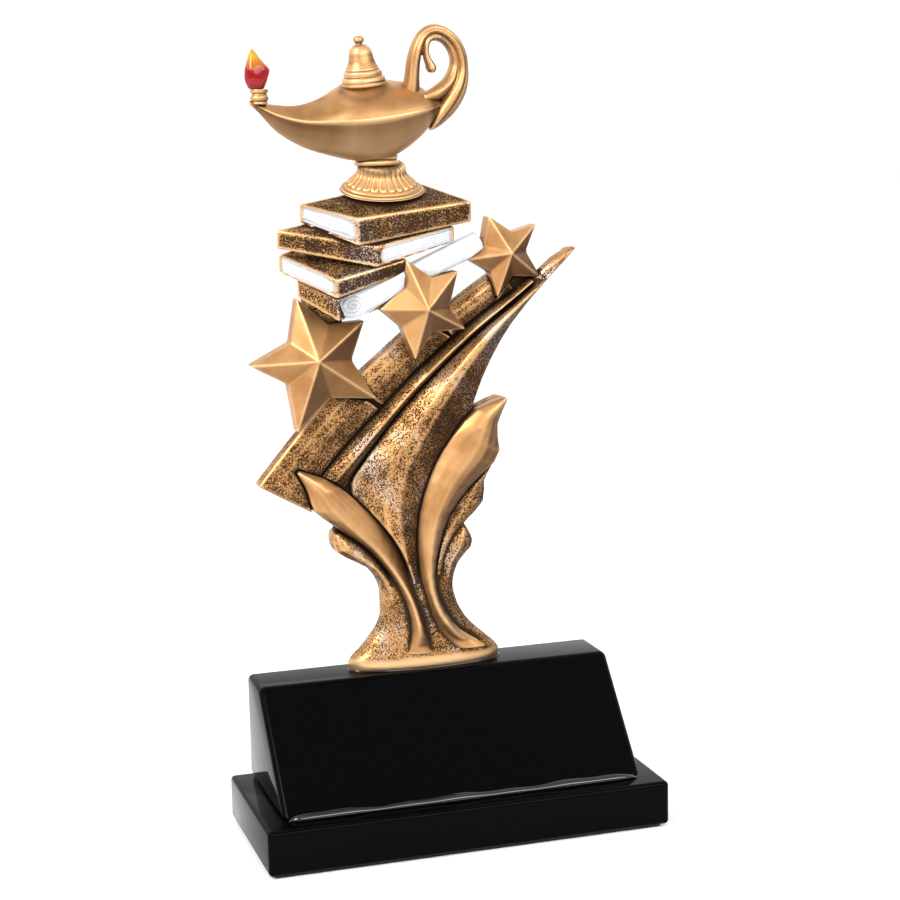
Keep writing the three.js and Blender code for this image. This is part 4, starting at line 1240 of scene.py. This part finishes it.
left, right, _, _, _, top = figure_box("lid_knob")
KNOB_X, KNOB_FOOT = (left + right) / 2 + 0.1, top - 4.49
knob_profile = rounded([
    (0, KNOB_FOOT - 0.4), (0.95, KNOB_FOOT - 0.3), (0.8, KNOB_FOOT + 0.5), (1.0, KNOB_FOOT + 0.8),
    (1.4, KNOB_FOOT + 1.2), (1.45, KNOB_FOOT + 1.7), (1.1, KNOB_FOOT + 2.3),
    (0.5, KNOB_FOOT + 2.5), (0, KNOB_FOOT + 2.4),
], 5)
knob_mesh = spun(knob_profile, KNOB_X, 0.9, steps=48)
paint_shade_and_wear(knob_mesh, {"lid_knob", "lamp_lid"}, reach=0.5, ridge_rounds=1)
place("mushroom_knob", knob_mesh, smooth_gold, "smooth_gold", "lid_knob")

left, right, _, _, bottom, _ = figure_box("burner_cup")
BURNER_X, BURNER_FOOT = (left + right) / 2, bottom + 0.47
burner_profile = rounded([
    (0, BURNER_FOOT), (1.9, BURNER_FOOT), (2.1, BURNER_FOOT + 0.4), (1.95, BURNER_FOOT + 0.7),
    (2.3, BURNER_FOOT + 1.2), (2.35, BURNER_FOOT + 1.8), (2.0, BURNER_FOOT + 2.4),
    (1.9, BURNER_FOOT + 2.7), (2.25, BURNER_FOOT + 3.0), (2.3, BURNER_FOOT + 3.5),
    (2.0, BURNER_FOOT + 3.85), (0, BURNER_FOOT + 3.85),
], 5)
burner_mesh = spun(burner_profile, BURNER_X, 0.9, steps=64)
paint_shade_and_wear(burner_mesh, {"burner_cup", "flame_lower"}, reach=0.5, ridge_rounds=1)
place("ringed_burner", burner_mesh, smooth_gold, "smooth_gold", "burner_cup")

# %% [markdown]
# ## Flame
# A flame of enamel: a round belly, a shoulder on the right and a tip that leans to the left. It is
# spun like the lamp parts and then pushed out of round point by point, which is simpler than
# carving it.


# %% Flame
def lick(vert):
    up = (vert.co.z - FLAME_FOOT) / FLAME_HEIGHT
    shoulder = math.exp(-((up - 0.5) / 0.16) ** 2) * max(0, vert.co.x) * 0.35
    vert.co.x += shoulder - 1.5 * max(0, up - 0.3) ** 1.6
    crease = 1 + 0.05 * math.sin(3 * math.atan2(vert.co.y, vert.co.x) + up * 5)
    vert.co.y *= crease


FLAME_FOOT = figure_box("flame_lower")[4] + 0.97
FLAME_HEIGHT = figure_box("flame_tip")[5] - FLAME_FOOT
flame_profile = rounded([
    (0, FLAME_FOOT), (1.7, FLAME_FOOT), (2.3, FLAME_FOOT + 0.7), (2.85, FLAME_FOOT + 2.1),
    (2.95, FLAME_FOOT + 3.4), (2.7, FLAME_FOOT + 5), (2.1, FLAME_FOOT + 6.6),
    (1.3, FLAME_FOOT + 8.3), (0.5, FLAME_FOOT + 9.6), (0, FLAME_FOOT + FLAME_HEIGHT),
], 6)
flame_mesh = spun(flame_profile, BURNER_X - 0.7, 0.85, steps=56, shape=lick)
place("enamel_flame", flame_mesh, flame_enamel, "red_enamel", "flame_lower", "flame_tip")

# %% [markdown]
# ## Base
# Two blocks of wood under many coats of lacquer. Lacquer pulls back from edges, so each is rounded
# with a bevel. The slab is a cube; the block is its side profile drawn out to its length.

# %% Plinth and block
plinth_low, plinth_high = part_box("plinth_slab")
block_low, block_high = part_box("sloped_block")
PLINTH_ROUNDING, BLOCK_ROUNDING = 1.2, 1.7
CAD_ROUNDING = 0.8 * MM
top_edge = min(v.co.y for v in nodes["sloped_block"].data.vertices
               if v.co.z > block_high.z - 0.01 * MM) - CAD_ROUNDING
print("the block's top is", round((block_high.y - top_edge) / MM, 2), "mm wide")


def lacquered(bm, radius):
    """Rounds every sharp edge by a radius in millimetres."""
    bm.normal_update()
    edges = [e for e in bm.edges if e.calc_face_angle(0) > 0.3]
    bmesh.ops.bevel(bm, geom=edges, offset=radius * MM, segments=5, affect="EDGES", profile=0.5,
                    material=-1, clamp_overlap=True)
    return to_mesh(bm)


bm = bmesh.new()
bmesh.ops.create_cube(bm, size=1)
bmesh.ops.scale(bm, vec=plinth_high - plinth_low, verts=bm.verts)
bmesh.ops.translate(bm, vec=(plinth_high + plinth_low) / 2, verts=bm.verts)
place("lacquered_plinth", lacquered(bm, PLINTH_ROUNDING), black_lacquer, "black_lacquer", "plinth_slab")

bm = bmesh.new()
side_profile = [(block_low.y, block_low.z), (block_high.y, block_low.z),
                (block_high.y, block_high.z), (top_edge, block_high.z)]
side = bm.faces.new([bm.verts.new((block_low.x, y, z)) for y, z in side_profile])
drawn = bmesh.ops.extrude_face_region(bm, geom=[side])["geom"]
bmesh.ops.translate(bm, vec=(block_high.x - block_low.x, 0, 0),
                    verts=[g for g in drawn if isinstance(g, bmesh.types.BMVert)])
place("lacquered_block", lacquered(bm, BLOCK_ROUNDING), black_lacquer, "black_lacquer",
      "sloped_block")

# %% [markdown]
# ## Beads of lacquer and glue
# Lacquer that ran down the slope set as a bead along its foot, and a bead of glue stands round the
# figure's foot. A bead is never even. One is a long bar whose thickness wanders along its length,
# the other a thin ring that does the same round its turn.


# %% Beads of lacquer and glue
def lacquer_bead():
    """A long bar along x, lying in the corner between slab and slope, a little uneven."""
    half = (block_high.x - block_low.x) / 2 / MM - 1.2
    bm = long_bar(24, 60)
    for vert in bm.verts:
        across, up, along = vert.co
        uneven = 1 + 0.18 * math.sin(along * 17) + 0.12 * math.sin(along * 41 + 1)
        ends = math.sqrt(max(0.0, 1 - (2 * along - 1) ** 18)) * 0.97 + 0.03
        vert.co = Vector(((2 * along - 1) * half, across * 1.5 * uneven * ends,
                          (0.5 + up * 1.2) * uneven * ends))
    foot = Vector((0, block_low.y + 0.3 * MM, block_low.z + 0.1 * MM))
    return to_mesh(bm, Matrix.Translation(foot) @ Matrix.Scale(MM, 4))


place("lacquer_bead", lacquer_bead(), run_lacquer, "black_lacquer", "block_lacquer_bead")


def glue_bead():
    """A thin ring spun about the figure's foot, then stretched to its outline."""
    low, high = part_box("casting_foot")
    half_x, half_y = (high.x - low.x) / 2 / MM, (high.y - low.y) / 2 / MM
    bm = bmesh.new()
    bmesh.ops.create_circle(bm, segments=16, radius=0.5)
    bmesh.ops.rotate(bm, cent=(0, 0, 0), matrix=Matrix.Rotation(math.pi / 2, 3, "X"),
                     verts=bm.verts)
    bmesh.ops.translate(bm, vec=(half_x, 0, 0), verts=bm.verts)
    bmesh.ops.spin(bm, geom=bm.verts[:] + bm.edges[:], cent=(0, 0, 0), axis=(0, 0, 1),
                   angle=2 * math.pi, steps=96, use_merge=True)
    for vert in bm.verts:
        turn = math.atan2(vert.co.y, vert.co.x)
        radius = math.hypot(vert.co.x, vert.co.y) - half_x
        uneven = 1 + 0.25 * math.sin(5 * turn) + 0.2 * math.sin(9 * turn + 2)
        vert.co.x = math.cos(turn) * (half_x - 0.2 + radius * uneven)
        vert.co.y = math.sin(turn) * (half_y - 0.2 + radius * uneven)
        vert.co.z *= uneven
    middle = Vector(((high.x + low.x) / 2, (high.y + low.y) / 2, block_top))
    return to_mesh(bm, Matrix.Translation(middle) @ Matrix.Scale(MM, 4))


place("glue_bead", glue_bead(), run_lacquer, "black_lacquer")

# %% [markdown]
# ## Felt and fixings
# These CAD nodes already have the right shape, so they stay and only get their finishes.

# %% Felt and fixings
for node, finish in (("felt_base_pad", black_felt), ("bolt_washer", zinc_steel),
                     ("figure_bolt", zinc_steel), ("block_screw_1", zinc_steel),
                     ("block_screw_2", zinc_steel)):
    mesh = nodes[node].data
    mesh.materials.clear()
    mesh.materials.append(finish.material)
    print(node, "keeps its CAD mesh, in", finish.material.name)

# %% [markdown]
# ## Floor
# The floor is a wide pale sheet, nearly white, so that it passes into the pale sky without a line.

# %% Floor
floor_bm = bmesh.new()
bmesh.ops.create_grid(floor_bm, x_segments=8, y_segments=8, size=4)
floor_mesh = to_mesh(floor_bm)
floor_finish = Finish("pale_floor", Metallic=0.0, Roughness=0.7)
floor_cloud = floor_finish.noise(300.0, 2.0)
floor_colour = floor_finish.blend(floor_cloud, rgb(248, 248, 248), rgb(252, 252, 252))
floor_finish.wear(Base_Color=floor_colour)
floor_mesh.materials.append(floor_finish.material)
floor = bpy.data.objects.new("floor", floor_mesh)
bpy.context.scene.collection.objects.link(floor)
print("floor:", *(round(side, 1) for side in floor.dimensions), "m")

# %% [markdown]
# ## Lights
# A small panel at the upper left gives the gold its brightest spots, a low strip at the front right
# draws a line along the lacquer bead, and a very wide panel overhead fills the shadows. The sky is
# white at the horizon and darker overhead and in front, because a black slope mirrors whatever is
# there.

# %% Lights
TARGET = Vector((0, 0, 0.12))


def panel(name, place_at, width, height, power):
    data = bpy.data.lights.new(name, "AREA")
    data.shape = "RECTANGLE"
    data.size, data.size_y = width, height
    data.energy = power
    light = bpy.data.objects.new(name, data)
    light.location = place_at
    light.rotation_euler = (TARGET - Vector(place_at)).to_track_quat("-Z", "Y").to_euler()
    bpy.context.scene.collection.objects.link(light)
    print(f"{name}: {width} x {height} m, {power} W")


panel("key_panel", (-1.0, -0.7, 1.1), 0.6, 0.6, 20)
panel("strip_panel", (0.35, -0.95, 0.72), 1.2, 0.4, 9)
panel("overhead_panel", (0, 0, 4), 24, 24, 1450)

# %% [markdown]
# ## Sky
# The world's light is a plain white whose strength depends on the direction: one smooth change with
# height and one from front to back, multiplied.

# %% Sky
world = bpy.data.worlds.new("studio")
bpy.context.scene.world = world
world.use_nodes = True
sky = world.node_tree
background = sky.nodes["Background"]
direction = sky.nodes.new("ShaderNodeTexCoord")
height = sky.nodes.new("ShaderNodeSeparateXYZ")
sky.links.new(direction.outputs["Generated"], height.inputs[0])


def sky_ramp(output, low, high, start, stop):
    ramp = sky.nodes.new("ShaderNodeMapRange")
    ramp.interpolation_type = "SMOOTHSTEP"
    for key, value in (("From Min", low), ("From Max", high), ("To Min", start), ("To Max", stop)):
        ramp.inputs[key].default_value = value
    sky.links.new(height.outputs[output], ramp.inputs["Value"])
    return ramp.outputs[0]


strength = sky.nodes.new("ShaderNodeMath")
strength.operation = "MULTIPLY"
sky.links.new(sky_ramp(2, 0.35, 0.85, 1.0, 0.05), strength.inputs[0])
sky.links.new(sky_ramp(1, -0.4, 0.3, 0.45, 1.1), strength.inputs[1])
sky.links.new(strength.outputs[0], background.inputs["Strength"])
background.inputs["Color"].default_value = (1, 1, 1, 1)
bpy.context.scene.view_settings.view_transform = "Standard"
print("sky nodes:", len(sky.nodes))
